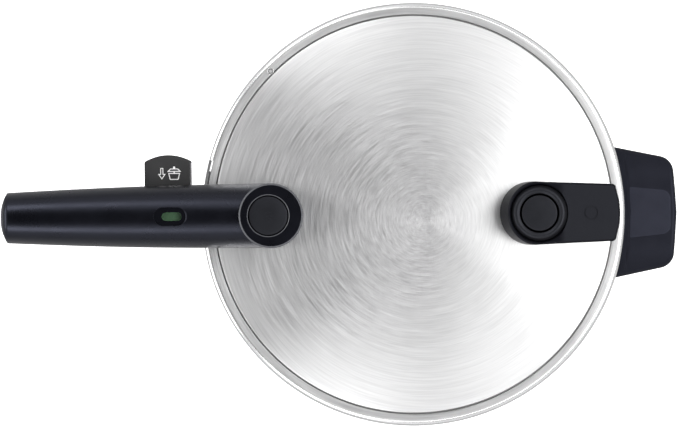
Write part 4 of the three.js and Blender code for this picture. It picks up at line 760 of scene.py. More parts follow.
class COOKER_OT_pot(bpy.types.Operator):
    """Pot with its flange, six bayonet lugs and level lines."""

    bl_idname = "cooker.pot"
    bl_label = "Pot"

    def execute(self, context):
        inside, floor = POT_RADIUS - 1.5, POT_LOW.z
        flange = POT_RADIUS + 4.7
        outer = rounded([(0, floor), (POT_RADIUS, floor, 14), (POT_RADIUS, RIM_TOP - 5.4, 2),
            (POT_RADIUS + 1.5, RIM_TOP - 2.4, 0.8), (flange, RIM_TOP - 2.4, 0.9), (flange, RIM_TOP, 1.0),
            (inside, RIM_TOP, 1.4), (inside, floor + 1.5, 12.5), (0, floor + 1.5)], steps=9)
        lugs = [sector(flange - 1, POT_HIGH.x, angle - 13.5, angle + 13.5, RIM_TOP - 2.4,
            RIM_TOP) for angle in range(0, 360, 60)]
        lines = []
        for z, half in ((56.0, 5), (81.0, 5), (106.0, 9)):
            for angle in (60, 240):
                lines.append(sector(inside - 0.5, inside + 0.25, angle - half, angle + half, z, z + 0.7, 0.1, 0.1))
        make("pot_wall", lathe(outer, segments=192), "pot", ["pot_shell"], LOOKS["pot_wall"],
            add=lugs, cut=lines)
        radius, top = BASE_HIGH.x, BASE_HIGH.z
        rings = []
        for i in range(9):
            at = 22 + i * 10
            rings += [(at, 0.0), (at + 0.5, 0.32), (at + 1.5, 0.32), (at + 2.0, 0.0)]
        profile = [(0, 0.35), (12, 0.35), (13, 0.0)] + rings
        profile += rounded([(radius - 12, 0), (radius, 0, 2.2), (radius, top, 0.3)], steps=6)[1:]
        profile += [(radius - 0.8, top), (radius - 0.8, 0.8), (0, 0.8)]
        make("base_disc", lathe(profile, segments=192), "pot", ["base_cap"], LOOKS["pot_base"])
        dress("base_core", "aluminium")
        return {"FINISHED"}


class COOKER_OT_seal(bpy.types.Operator):
    """Silicone sealing ring with its lip."""

    bl_idname = "cooker.seal"
    bl_label = "Seal"

    def execute(self, context):
        outer, inner = SEAL_HIGH.x, SEAL_HIGH.x - 9.6
        low, top = SEAL_LOW.z, SEAL_HIGH.z
        profile = rounded([(inner, low, 0.5), (outer, low, 1.0), (outer, top, 1.0), (inner, top, 0.5),
            (inner, top - 1.3, 0.3), (inner + 4, (low + top) / 2, 0.6), (inner, low + 1.3, 0.3)], closed=True)
        shape = lathe(profile, segments=192)
        make("seal_lip_ring", shape, "seal", ["seal_ring"], LOOKS["silicone"])
        return {"FINISHED"}


class COOKER_OT_lid(bpy.types.Operator):
    """Lid with its brushed dome, crease, ring, polished shoulder, skirt and lugs."""

    bl_idname = "cooker.lid"
    bl_label = "Lid"

    def execute(self, context):
        sizes = context.scene.cooker_sizes
        shoulder = sizes.shoulder * 1000
        ring_under = RING_TOP - LID_SHEET
        steps = 40
        reach = CREASE_RADIUS - 1.2
        top = [(reach * i / steps, dome(reach * i / steps)) for i in range(steps, -1, -1)]
        under = [(reach * i / steps, dome(reach * i / steps) - LID_SHEET) for i in range(steps)]
        outside = rounded([(CREASE_RADIUS - 6, ring_under + 1.5), (CREASE_RADIUS - 0.6, ring_under + 0.6, 1.2),
            (CREASE_RADIUS + 1, ring_under, 0.8), (SKIRT_INSIDE, ring_under, 1.4), (SKIRT_INSIDE, LID_LOW.z, 0.4),
            (LID_RADIUS, LID_LOW.z, 0.6), (LID_RADIUS, RING_TOP, shoulder), (CREASE_RADIUS + 0.75, RING_TOP, 0.25),
            (CREASE_RADIUS + 0.35, RING_TOP - 0.75, 0.2), (CREASE_RADIUS - 0.05, RING_TOP - 0.75, 0.2),
            (CREASE_RADIUS - 0.35, DOME_EDGE + 0.05, 0.5), (reach, dome(reach))], steps=6)[1:-1]
        lugs = [sector(137.0, SKIRT_INSIDE + 1, angle - 12.5, angle + 12.5, LID_LOW.z + 0.3,
            LID_LOW.z + 3.1) for angle in range(0, 360, 60)]
        window = sector(SKIRT_INSIDE - 1, LID_RADIUS + 2, 164.5, 176, RIM_TOP + 1.8, RING_TOP + 2, 1.0, 0)
        holes = [window]
        for node, radius in (("float_bush", 4.7), ("valve_body", 7.1), ("safety_plug", 4.9)):
            holes.append(rod(radius, RIM_TOP, DOME_TOP + 5, middle(node)[0]))
        for node in ("handle_bolt_1", "handle_bolt_2"):
            holes.append(rod(2.8, RIM_TOP, DOME_TOP + 5, *middle(node)))
        piece = make("lid_steel", lathe(under + outside + top, segments=256), "lid", ["lid_shell"],
            LOOKS["lid_dome"], add=lugs, cut=holes, crease=38)
        for look in ("lid_ring", "lid_polish", "lid_groove_painted_shade"):
            piece.data.materials.append(LOOKS[look])
        for face in piece.data.polygons:
            centre = face.center * 1000
            radius = math.hypot(centre.x, centre.y)
            if radius > LID_RADIUS - shoulder - 0.4 and face.normal.z < 0.985:
                face.material_index = 2
            elif radius > CREASE_RADIUS + 0.75:
                face.material_index = 1
            # Faces in the crease groove take the darkened steel: painted shade in the groove.
            elif radius > CREASE_RADIUS - 0.5 and centre.z > RING_TOP - 0.9:
                face.material_index = 3
        self.rivet()
        return {"FINISHED"}

    def rivet(self):
        """The rivet in the lid's ring, with a turned groove round its middle."""
        x, y = middle("rim_rivet")
        low, high = corners("rim_rivet")
        top, reach = high.z, 2.3
        x, y = x + 1.4, y + 0.3
        profile = rounded([(0, low.z), (1, low.z), (1, top - 0.8), (reach, top - 0.8), (reach, top - 0.1, 0.3),
            (1.75, top - 0.1, 0.2), (1.6, top - 0.5), (1.15, top - 0.5), (1.0, top - 0.2), (0, top - 0.2)])
        shape = lathe(profile, x, y, 48)
        piece = make("rim_rivet_head", shape, "lid", ["rim_rivet"], LOOKS["lid_polish"])
        piece.data.materials.append(LOOKS["lid_groove_painted_shade"])
        piece.data.materials.append(LOOKS["lid_ring"])
        # Faces in the rivet's groove take the darkened steel, which is painted shade in the groove; its middle
        # takes the ring's brushing.
        for face in piece.data.polygons:
            radius = math.hypot(face.center.x * 1000 - x, face.center.y * 1000 - y)
            if radius < 1.7 and face.center.z * 1000 > top - 0.6:
                face.material_index = 1 if radius > 1.02 else 2


# ------------------------------------------------------------------ shapes of the handles
def half_width(x):
    """Half the lid handle's width at x."""
    share = min(max((HEAD_X - x) / (HEAD_X - TIP_X), 0.0), 1.0)
    return HEAD_RADIUS + (TIP_HALF - HEAD_RADIUS) * share + HANDLE_BOW * math.sin(math.pi * share)


def handle_half(inset, tip, inner, corner=5.0, bulge=4.6, steps=60):
    """Half outline of a handle from its rounded tip to `inner`."""
    tip_x = tip + inset
    start = tip_x + bulge
    side = half_width(start) - inset
    end_arc = []
    parts = 18
    for i in range(parts + 1):
        y = side * i / parts
        end_arc.append((tip_x + bulge * (y / side) ** 2, y))
    path = end_arc[:-1] + [(start, side, corner), (start + 12, half_width(start + 12) - inset)]
    head = rounded(path[-3:], steps=10)
    out = end_arc[:-2] + [p for p in head if p[1] > end_arc[-3][1]]
    last = out[-1][0]
    for i in range(1, steps + 1):
        x = last + (inner - last) * i / steps
        out.append((x, half_width(x) - inset))
    out.append((inner, 0))
    return out


def crown(x, inset=0.0):
    """Height of the handle's crown line at x, rounded down at its tip."""
    share = (HEAD_X - x) / (HEAD_X - TIP_X)
    top = CROWN - TIP_DROP * share - inset
    run = 7.0
    near = min(max((x - TIP_X - inset) / run, 0.0), 1.0)
    fall = (1 - (1 - near) ** 3) ** (1 / 3)
    return CROWN_SIDE + (top - CROWN_SIDE) * fall


def handle_body(inset, under, inner):
    """The handle's barrel with its elliptical crown."""
    half = handle_half(inset, TIP_X, inner)

    def top(x, y):
        width = half_width(x) - inset
        near = min(max((x - TIP_X - inset) / 4.5, 0.001), 1.0)
        width *= (1 - (1 - near) ** 2.6) ** (1 / 2.6)
        share = min(abs(y) / width, 1.0)
        return CROWN_SIDE + (crown(x, inset) - CROWN_SIDE) * math.sqrt(max(0.0, 1 - share**2.15))

    edge = 1.2 if inset == 0 else 0
    rings = [(edge, lambda x, y: under), (edge * 0.3, lambda x, y: under + edge * 0.3)]
    rings += [(0, lambda x, y: under + edge), (0, lambda x, y: CROWN_SIDE)]
    if not inset:
        return moulded(half, rings + [(0.001, top)], across=28)
    return moulded(half, [rings[0], (0.001, top)], across=20)


class COOKER_OT_lid_handle(bpy.types.Operator):
    """Lid handle with its round head, window recess, cover and window."""

    bl_idname = "cooker.lid_handle"
    bl_label = "Lid handle"

    def execute(self, context):
        sizes = context.scene.cooker_sizes
        chamfer = sizes.head_chamfer * 1000
        head = lathe(rounded([(0, HANDLE_UNDER), (HEAD_RADIUS, HANDLE_UNDER),
            (HEAD_RADIUS, HEAD_FACE - chamfer, 0.35), (HEAD_RADIUS - chamfer, HEAD_FACE, 0.35), (0, HEAD_FACE)]),
            HEAD_X, 0, 160)
        well_floor = HEAD_FACE - 11
        well = lathe([(0, well_floor), (BUTTON_RADIUS + 0.5, well_floor), (BUTTON_RADIUS + 0.5, HEAD_FACE - 0.55),
            (BUTTON_RADIUS + 1.6, HEAD_FACE + 0.55), (0, HEAD_FACE + 0.55)], BUTTON_X, 0, 128)
        rim = sizes.window_rim * 1000
        dish_length, dish_width = 22.8 - 2 * rim, 13.8 - 2 * rim
        crown_here = crown(WINDOW_X)
        dish = flared(slot_outline(RECESS_X, 0, dish_length, dish_width, 24), (RECESS_X, 0), DISH_FLOOR, crown_here,
            rim)
        hole = prism(slot_outline(WINDOW_X, 0, 13.5, 5.6, 20), DISH_FLOOR - 8, DISH_FLOOR + 1)
        latch_low, latch_high = corners("latch")
        cavity_top = well_floor - 2
        inner = handle_body(2.6, HANDLE_UNDER - 5, HEAD_X - HEAD_RADIUS - 1)
        head_hollow = rod(HEAD_RADIUS - 2.6, HANDLE_UNDER - 5, cavity_top, HEAD_X)
        ledge = box_mesh((latch_high.x - 19.5, -4, cavity_top - 1), (latch_high.x + 3.5, 4, well_floor + 1))
        piece = mesh_object("handle_barrel", handle_body(0.0, HANDLE_UNDER, HEAD_X))
        combined(piece, [head], "UNION")
        combined(piece, [under_lid(0.3), well], "DIFFERENCE")
        hollow = mesh_object("hollow", inner)
        combined(hollow, [head_hollow], "UNION")
        combined(hollow, [under_lid(2.3)], "DIFFERENCE")
        seat = prism(slot_outline(WINDOW_X, 0, 26.8, 17.8, 16), DISH_FLOOR - 2.6, CROWN)
        combined(hollow, [seat, ledge], "DIFFERENCE")
        cuts = [taken(hollow), dish, hole, ledge]
        for node, radius in (("float_bush", 4.7), ("handle_bolt_1", 2.8), ("handle_bolt_2", 2.8)):
            cuts.append(rod(radius, RIM_TOP, latch_low.z + 20, *middle(node)))
        combined(piece, cuts, "DIFFERENCE")
        finished(piece, "lid", ["handle_shell"], LOOKS["grip"], 30)
        # Faces of the head's chamfer and of the button well's chamfer take the lighter plastic: a painted highlight
        # on these edges.
        piece.data.materials.append(LOOKS["edge"])
        for face in piece.data.polygons:
            x, y, z = face.center * 1000
            outside = math.hypot(x - HEAD_X, y) - (HEAD_RADIUS - chamfer)
            inside = math.hypot(x - BUTTON_X, y) - BUTTON_RADIUS
            if z > HEAD_FACE - 1.0 and 0.3 < face.normal.z < 0.93 and (outside > -0.1 or 0.4 < inside < 1.2):
                face.material_index = 1

        lens = prism(slot_outline(WINDOW_X, 0, 12.9, 5.0, 20), LENS_LOW.z, LENS_HIGH.z, 0.35)
        make("lock_window", lens, "lid", ["window_lens"], LOOKS["lens"])
        self.cover()
        return {"FINISHED"}

    def cover(self):
        """The plate that closes the handle from below."""
        low, high = corners("handle_cover")
        half = handle_half(2.9, TIP_X, high.x)
        hook_low = corners("latch")[0]
        rings = [(0.8, lambda x, y: low.z), (0.0, lambda x, y: low.z + 0.8), (0.0, lambda x, y: high.z)]
        plate = moulded(half, rings, across=8)
        hook_x = hook_low.x + 6
        cuts = [prism(rounded([(hook_x - 12, -5, 1), (hook_x + 4, -5, 1), (hook_x + 4, 5, 1), (hook_x - 12, 5, 1)],
            closed=True), low.z - 1, high.z + 1)]
        for node in ("cover_screw_1", "cover_screw_2"):
            x, y = middle(node)
            cuts.append(rod(2.3, low.z - 1, high.z + 1, x, y, 32))
            cuts.append(rod(3.9, low.z - 1, low.z + 2.2, x, y, 48))
        make("handle_under_plate", plate, "lid", ["handle_cover"], LOOKS["trim"], cut=cuts)
        screw("cover_screw_1", "lid")
        screw("cover_screw_2", "lid")


class COOKER_OT_button(bpy.types.Operator):
    """Release button with its raised mark, the latch and the lock flags."""

    bl_idname = "cooker.button"
    bl_label = "Button and lock"

    def execute(self, context):
        face = BUTTON_HIGH.z
        edge = BUTTON_RADIUS - BUTTON_GAP
        disc = lathe(rounded([(0, face - 3.4), (edge, face - 3.4), (edge, face - 0.9, 0.5)] + [(edge * i / 10,
            face - 0.12 - 0.75 * (i / 10) ** 2) for i in range(9, -1, -1)]), BUTTON_X, 0, 128)
        marks = []
        for step in (-2, 0, 2):
            bar = slot_outline(BUTTON_X, step * 1.0, 5.4 - abs(step) * 0.8, 0.8, 6)
            marks.append(prism(bar, face - 0.5, face, 0.12))
        low = BUTTON_LOW.z
        latch_low, latch_high = corners("latch")
        outer, inner = latch_high.x - 8.5, latch_high.x + 2
        side = [(outer, face - 2.9), (outer, low + 5.3), (inner - 2.8, low), (inner, low), (inner, face - 2.9)]
        make("button_disc", disc, "button", ["release_button"], LOOKS["trim"],
            add=marks + [wedge_shape(side, 3.0)], crease=30)
        dress("latch", "satin")
        for node, look in (("flag_locked", "locked"), ("flag_open", "open")):
            low, high = corners(node)
            plate = prism(rounded([(low.x, low.y, 0.4), (high.x, low.y, 0.4), (high.x, high.y, 0.4),
                (low.x, high.y, 0.4)], closed=True, steps=3), low.z, high.z, 0.25)
            make(node + "_field", plate, "latch_slider", [node], LOOKS[look])
        spring("button_coil", "button_spring", "z", True, 2.5)
        spring("latch_coil", "latch_spring", "x", True, 5)
        return {"FINISHED"}


def wedge_shape(side, half):
    """An outline in x and z, given a width across y."""
    count = len(side)
    verts = [(x, -half, z) for x, z in side] + [(x, half, z) for x, z in side]
    faces = [tuple(range(count)), tuple(reversed(range(count, 2 * count)))]
    for i in range(count):
        j = (i + 1) % count
        faces.append((i, i + count, j + count, j))
    return verts, faces


# ------------------------------------------------------------------ valve unit
def unit_half(inset=0.0):
    """Half outline of the valve unit from its round inner end to its outer end."""
    centre = UNIT_LOW.x + UNIT_RADIUS
    radius = UNIT_RADIUS - inset
    out = []
    for i in range(41):
        angle = math.pi - math.pi / 2 * i / 40
        out.append((centre + radius * math.cos(angle), radius * math.sin(angle)))
    half = 19.2 - inset
    end = UNIT_HIGH.x - inset
    bulge = UNIT_END_BULGE
    line = rounded([(centre, radius), (end - bulge, half, 3.0), (end - bulge * 0.45, half * 0.6)], steps=8)
    out += divided(line[:2], lambda a, b: 24)[1:] + line[1:]
    for i in range(1, 7):
        y = half * 0.6 * (1 - i / 6)
        out.append((end - bulge * (y / half) ** 2 * 1.2, y))
    out[-1] = (end, 0)
    return out


def unit_top(x, y, drop=0.0):
    """Height of the valve unit's top: level round the knob, then falling away to the outer end."""
    level = KNOB_X + COLLAR_RADIUS * 0.7
    share = min(max((x - level) / (UNIT_HIGH.x - level), 0.0), 1.05)
    soft = 0.06
    if share < soft:
        share = share * share / (2 * soft)
    else:
        share -= soft / 2
    return UNIT_TOP - (UNIT_TOP - UNIT_OUTER_TOP) * share - drop


class COOKER_OT_valve_unit(bpy.types.Operator):
    """Valve housing on the lid, the level collar and the indicator."""

    bl_idname = "cooker.valve_unit"
    bl_label = "Valve unit"

    def execute(self, context):
        edge = 1.7
        foot = dome(UNIT_LOW.x)
        hub = UNIT_LOW.x + UNIT_RADIUS

        def leaning(shape):
            verts, faces = shape
            moved = []
            for x, y, z in verts:
                near = min(max((hub + 8 - x) / (UNIT_RADIUS + 8), 0.0), 1.0)
                share = (z - foot) / (UNIT_TOP - foot)
                moved.append((x + share * UNIT_LEAN * near**0.5, y, z))
            return moved, faces

        half = unit_half()
        rings = [(0.0, lambda x, y: RIM_TOP)]
        for a in quarter(5):
            drop = edge * (1 - math.sin(a))
            rings.append((edge * (1 - math.cos(a)), lambda x, y, drop=drop: unit_top(x, y, drop)))
        body = leaning(moulded(half, rings, across=24))
        bore = COLLAR_RADIUS + 0.4
        cutter = lathe([(0, BORE_FLOOR), (bore, BORE_FLOOR), (bore, UNIT_TOP - 1.2), (bore + 0.2, UNIT_TOP - 0.7),
            (bore + 0.6, UNIT_TOP - 0.35), (bore + 1.9, UNIT_TOP + 0.7), (0, UNIT_TOP + 0.7)], KNOB_X, 0, 128)
        inner_half = unit_half(2.6)
        hollow = leaning(moulded(inner_half,
            [(0, lambda x, y: RIM_TOP - 1), (0, lambda x, y: min(BORE_FLOOR - 2.4, unit_top(x, y, 2.6)))],
            across=6))
        ring_mark = lathe([(3.9, UNIT_TOP - 12), (4.7, UNIT_TOP - 12), (4.7, UNIT_TOP + 5), (3.9, UNIT_TOP + 5)],
            UNIT_MARK_X, 0, 64)
        groove = mesh_object("groove", ring_mark)
        deep = moulded(half, [(0, lambda x, y: RIM_TOP), (0, lambda x, y: unit_top(x, y, 0.6))], across=4)
        combined(groove, [deep], "DIFFERENCE")
        make("valve_housing", body, "lid", ["unit_housing"], LOOKS["unit"],
            cut=[under_lid(0.3), hollow, cutter, rod(9.7, BORE_FLOOR - 5, BORE_FLOOR + 1, KNOB_X), taken(groove)],
            crease=30)
        inside = CAP_RADIUS + 0.5
        low, high = COLLAR_LOW.z, COLLAR_HIGH.z
        collar = lathe(rounded([(inside, low), (COLLAR_RADIUS, low, 0.4), (COLLAR_RADIUS, high - 4.6, 0.8),
            (COLLAR_RADIUS - 1.9, high - 0.7, 1.6), (inside + 2.1, high, 2.0), (inside, high - 1.1, 0.5)],
            closed=True, steps=7), KNOB_X, 0, 160)
        notches = []
        for angle in (60, 120, 240, 300):
            way = math.radians(angle)
            x = KNOB_X + (COLLAR_RADIUS - 0.2) * math.cos(way)
            y = (COLLAR_RADIUS - 0.2) * math.sin(way)
            notches.append(rod(0.7, low + 0.5, low + 5.5, x, y, 24))
        make("pressure_collar", collar, "collar", ["level_collar"], LOOKS["trim"], cut=notches)
        self.indicator()
        return {"FINISHED"}

    def indicator(self):
        """The cap, with its two level rings on its side, and its stem."""
        low, high = CAP_LOW.z, CAP_HIGH.z
        edge = CAP_RADIUS - CAP_GAP
        cap = lathe(rounded([(0, high - 2), (edge - 2, high - 2), (edge - 2, low, 0.3), (edge, low, 0.3),
            (edge, low + 2.6), (edge - 0.2, low + 2.7), (edge - 0.2, low + 3.5), (edge, low + 3.6),
            (edge, low + 5.0), (edge - 0.2, low + 5.1), (edge - 0.2, low + 5.9), (edge, low + 6.0),
            (edge, high, 0.7), (0, high)]), KNOB_X, 0, 128)
        piece = make("pressure_cap", cap, "indicator", ["indicator_cap"], LOOKS["trim"], crease=34)
        piece.data.materials.append(LOOKS["mark"])
        for face in piece.data.polygons:
            z = face.center.z * 1000
            radius = math.hypot(face.center.x * 1000 - KNOB_X, face.center.y * 1000)
            groove = low + 2.75 < z < low + 3.45 or low + 5.15 < z < low + 5.85
            if groove and radius > edge - 0.6 and abs(face.normal.z) < 0.3:
                face.material_index = 1
        dress("indicator_stem", "bright")
        spring("valve_coil", "valve_spring", "z", False, 4, 0.45)


# ------------------------------------------------------------------ underside of the lid
class COOKER_OT_fittings(bpy.types.Operator):
    """Bolts, washers, nuts, float, valve and safety plug under the lid."""

    bl_idname = "cooker.fittings"
    bl_label = "Fittings under the lid"

    def execute(self, context):
        for number in ("1", "2"):
            node = "handle_bolt_" + number
            low, at = corners(node)[0].z, middle(node)
            turned("lid_bolt_" + number, node, at, "bright", lambda a, b: [(0, a), (5, a, 1.4), (6, a + 2, 1.0),
                (6, a + 4, 0.3), (2.5, a + 4), (2.5, b - 0.6), (2.0, b), (0, b)], closed=False,
                cut=[prism(slot_outline(*at, 7.4, 1.1, 6), low - 1, low + 1.3)])
            turned("lid_bolt_ring_" + number, "bolt_washer_" + number, at, "silicone",
                lambda a, b: [(2.8, a), (6, a, 0.4), (6, b, 0.4), (2.8, b)])
            dress("handle_nut_" + number, "bright")
        self.float_parts()
        self.valve_parts()
        return {"FINISHED"}

    def float_parts(self):
        """The float's bush, pin and seal."""
        at = (middle("float_bush")[0], 0)
        turned("float_guide", "float_bush", at, "bright", lambda a, b: [(2.5, a, 0.3), (6.6, a, 0.5),
            (6.6, a + 1.5, 0.3), (4.4, a + 1.5), (4.4, b, 0.4), (2.5, b, 0.3)])
        turned("float_pin_turned", "float_pin", at, "bright", lambda a, b: [(0, a + 0.3), (3.4, a, 0.6),
            (4.6, a + 0.5, 0.5), (4.6, a + 1.5, 0.3), (2.0, a + 1.5), (2.0, b - 1.6), (3.0, b - 1.6, 0.2),
            (3.0, b - 0.2, 0.3), (0, b)], body="float", closed=False)
        turned("float_o_ring", "float_seal", at, "float_rubber",
            lambda a, b: [(2.2, a, 0.2), (4.2, a, 0.4), (4.2, b, 0.4), (2.2, b, 0.2)], body="float")

    def valve_parts(self):
        """The valve body, its lid, washer and nut, and the safety plug."""
        at = (KNOB_X, 0)
        bore = 5.4
        turned("valve_cup", "valve_body", at, "bright", lambda a, b: [(2, a, 0.3), (6.8, a, 1.2), (6.8, b, 0.3),
            (bore, b), (bore, a + 4), (2, a + 4)], segments=96)
        turned("valve_cup_lid", "valve_cage_lid", at, "bright",
            lambda a, b: [(2.5, a), (6.8, a, 0.4), (6.8, b, 0.4), (2.5, b)])
        turned("valve_ring", "valve_washer", at, "silicone",
            lambda a, b: [(7.1, a), (11, a, 0.5), (11, b, 0.5), (7.1, b)], segments=96)
        low, high = corners("valve_nut")
        turns = [math.radians(angle) for angle in range(0, 360, 60)]
        path = rounded([(KNOB_X + 11 * math.cos(turn), 11 * math.sin(turn), 0.8) for turn in turns], closed=True)
        bevel = lathe([(8.6, low.z - 1), (12.5, low.z - 1), (12.5, low.z + 1.2), (10.6, low.z + 0.6), (9.6, low.z)],
            KNOB_X, 0, 96)
        make("valve_hex", prism(path, low.z, high.z, 0.3), "lid", ["valve_nut"], LOOKS["bright"],
            cut=[rod(7.1, low.z - 1, high.z + 1, KNOB_X), bevel])
        turned("relief_plug", "safety_plug", (middle("safety_plug")[0], 0), "float_rubber",
            lambda a, b: [(0, a + 0.5), (3.2, a + 0.5, 0.4), (3.8, a, 0.3), (6.5, a, 0.7), (6.5, a + 2, 0.3),
            (4.6, a + 2), (4.6, b - 1.6), (5.6, b - 1.6, 0.2), (4.6, b, 0.5), (0, b)], closed=False)


# ------------------------------------------------------------------ pot grip
class COOKER_OT_pot_grip(bpy.types.Operator):
    """Lower grip with its sleeve, bracket, keeper and screw, and the placing tab beside it."""

    bl_idname = "cooker.pot_grip"
    bl_label = "Pot grip and tab"

    def execute(self, context):
        edge = 8.0
        low, top = GRIP_LOW.z, GRIP_HIGH.z
        half = [(x, max(y - 1.2, 0)) for x, y in handle_half(0.0, GRIP_LOW.x, GRIP_HIGH.x, corner=6)]
        half[0] = (GRIP_LOW.x, 0)
        rings = []
        for a in quarter(7):
            inset, z = edge * (1 - math.sin(a)), low + edge * (1 - math.cos(a))
            rings.append((inset * 0.8, lambda x, y, z=z: z))
        upper = 3.0
        for a in quarter(7):
            inset, z = upper * (1 - math.cos(a)), top - upper * (1 - math.sin(a))
            rings.append((inset, lambda x, y, z=z: z))
        body = moulded(half, rings, across=10)
        bracket_low, bracket_high = corners("grip_bracket")
        keeper_low, keeper_high = corners("keeper")
        tab = grown_tab(0.3)
        cuts = [rod(LID_RADIUS + 1.5, LID_LOW.z - 1.6, top + 1, segments=192),
            box_mesh((bracket_low.x - 1, bracket_low.y - 0.3, bracket_low.z - 0.3),
            (GRIP_HIGH.x + 1, bracket_high.y + 0.3, bracket_high.z + 0.3)), prism(tab, TAB_LOW.z - 0.3, top + 1),
            box_mesh((keeper_low.x - 0.3, keeper_low.y - 0.3, keeper_low.z - 0.3),
            (keeper_high.x + 0.3, HEAD_RADIUS + 2, top + 1))]
        x, y = middle("pot_grip_screw")
        cuts.append(rod(2.3, low - 1, bracket_low.z + 2, x, y, 32))
        cuts.append(rod(4.6, low - 1, low + 3, x, y, 48))
        for node in ("tab_screw_1", "tab_screw_2"):
            x, y = middle(node)
            cuts.append(rod(2.0, TAB_LOW.z - 9, TAB_LOW.z, x, y, 32))
        make("lower_grip", body, "pot", ["pot_grip"], LOOKS["grip"], cut=cuts, crease=30)
        self.guard()
        self.tab()
        for node in ("pot_grip_screw", "side_screw_1", "side_screw_2"):
            screw(node, "pot")
        for node in ("tab_screw_1", "tab_screw_2"):
            screw(node, "pot", up=False)
        for node in ("grip_bracket", "side_bracket", "keeper"):
            dress(node, "satin")
        return {"FINISHED"}

    def guard(self):
        """The bright sleeve between the pot's wall and the grip."""
        low, high = GUARD_LOW, GUARD_HIGH
        outline = rounded([(low.y, low.z, 8), (high.y, low.z, 8), (high.y, high.z, 8), (low.y, high.z, 8)],
            closed=True, steps=10)
        inner = rounded([(low.y + 1, low.z + 1, 7), (high.y - 1, low.z + 1, 7), (high.y - 1, high.z - 1, 7),
            (low.y + 1, high.z - 1, 7)], closed=True, steps=10)
        sleeve = lying(prism(outline, low.x, high.x + 2, 0.3))
        hollow = lying(prism(inner, low.x - 1, high.x + 9))
        wall = rod(POT_RADIUS + 0.3, 0, RIM_TOP, segments=192)
        make("grip_sleeve", sleeve, "pot", ["flame_guard"], LOOKS["bright"], cut=[hollow, wall])

    def tab(self):
        """The placing tab with its arrow and pot marks."""
        plate = prism(grown_tab(0.0), TAB_LOW.z, TAB_HIGH.z, 0.35)
        screws = ("tab_screw_1", "tab_screw_2")
        holes = [rod(2.3, TAB_LOW.z - 1, TAB_HIGH.z + 1, *middle(node), 32) for node in screws]
        bare = TAB_HIGH.x - 1.3
        inner, outer = HEAD_RADIUS - 1.5, TAB_HIGH.y - 5.4
        strip = (bare, inner, TAB_LOW.z - 0.1), (TAB_HIGH.x + 1, outer, TAB_HIGH.z + 0.1)
        make("tab_plate", plate, "pot", ["placing_tab"], LOOKS["tab"], cut=holes + [box_mesh(*strip)])
        sheared = [(bare, inner), (TAB_HIGH.x, inner), (TAB_HIGH.x, outer, 0.4), (bare, outer)]
        edge = prism(rounded(sheared, closed=True), TAB_LOW.z, TAB_HIGH.z, 0.2)
        make("tab_bare_edge", edge, "pot", [], LOOKS["satin"])
        x = (TAB_LOW.x + TAB_HIGH.x) / 2
        y = TAB_HIGH.y - 12.5
        low, top = TAB_HIGH.z - 0.1, TAB_HIGH.z + 0.12
        arrow = [(-5.3, 3.8), (-3.3, 3.8), (-3.3, -0.2), (-1.7, -0.2), (-4.3, -4.0), (-6.9, -0.2), (-5.3, -0.2)]
        inside = [(-4.8, 3.3), (-3.8, 3.3), (-3.8, -0.7), (-2.7, -0.7), (-4.3, -3.1), (-5.9, -0.7), (-4.8, -0.7)]
        body = [(1.0, -4.2, 0.8), (7.0, -4.2, 0.8), (8.0, 0.4), (0.0, 0.4)]
        cover = [(-0.8, 1.2), (8.8, 1.2), (6.6, 3.4, 0.8), (1.4, 3.4, 0.8)]
        knob = [(3.3, 3.2), (4.7, 3.2), (4.7, 4.8, 0.4), (3.3, 4.8, 0.4)]
        hollows = ([(1.55, -3.6, 0.4), (6.45, -3.6, 0.4), (7.25, -0.2), (0.75, -0.2)],
            [(0.7, 1.75), (7.3, 1.75), (6.3, 2.85, 0.4), (1.7, 2.85, 0.4)])
        bridge = [(3.6, 0), (4.4, 0), (4.4, 1.5), (3.6, 1.5)]

        def drawn(outline, deep=0.0):
            """A mark's outline, as a thin plate on the tab or as a cutter."""
            path = rounded([(x + p[0], y + p[1], *p[2:]) for p in outline], closed=True, steps=4)
            return prism(path, low - deep, top + deep)

        for name, solid, more, holes in (("arrow_mark", arrow, (), (inside,)),
            ("pot_mark", body, (bridge, cover, knob), hollows)):
            mark = mesh_object(name, drawn(solid))
            combined(mark, [drawn(part) for part in more], "UNION")
            combined(mark, [drawn(part, 1.0) for part in holes], "DIFFERENCE")
            finished(mark, "pot", [], LOOKS["mark"])


def lying(shape):
    """Lays a prism down: its outline becomes (y, z) and its height x."""
    verts, faces = shape
    return [(c, a, b) for a, b, c in verts], faces


def grown_tab(grow):
    """The tab's outline in plan."""
    half = (TAB_HIGH.x - TAB_LOW.x) / 2 + grow
    centre = (TAB_HIGH.x + TAB_LOW.x) / 2
    end, rise = TAB_HIGH.y + grow, 4.4
    out = [(centre - half, TAB_LOW.y - grow), (centre + half, TAB_LOW.y - grow)]
    steps = 26
    arc = []
    for i in range(steps + 1):
        share = 1 - 2 * i / steps
        arc.append((centre + half * share, end - rise * share**2))
    out += rounded([(centre + half, end - 12), (*arc[0], 1.6), arc[2]], steps=5)[1:-1]
    out += arc[2:-2]
    out += rounded([arc[-3], (*arc[-1], 1.6), (centre - half, end - 12)], steps=5)[1:-1]
    return out


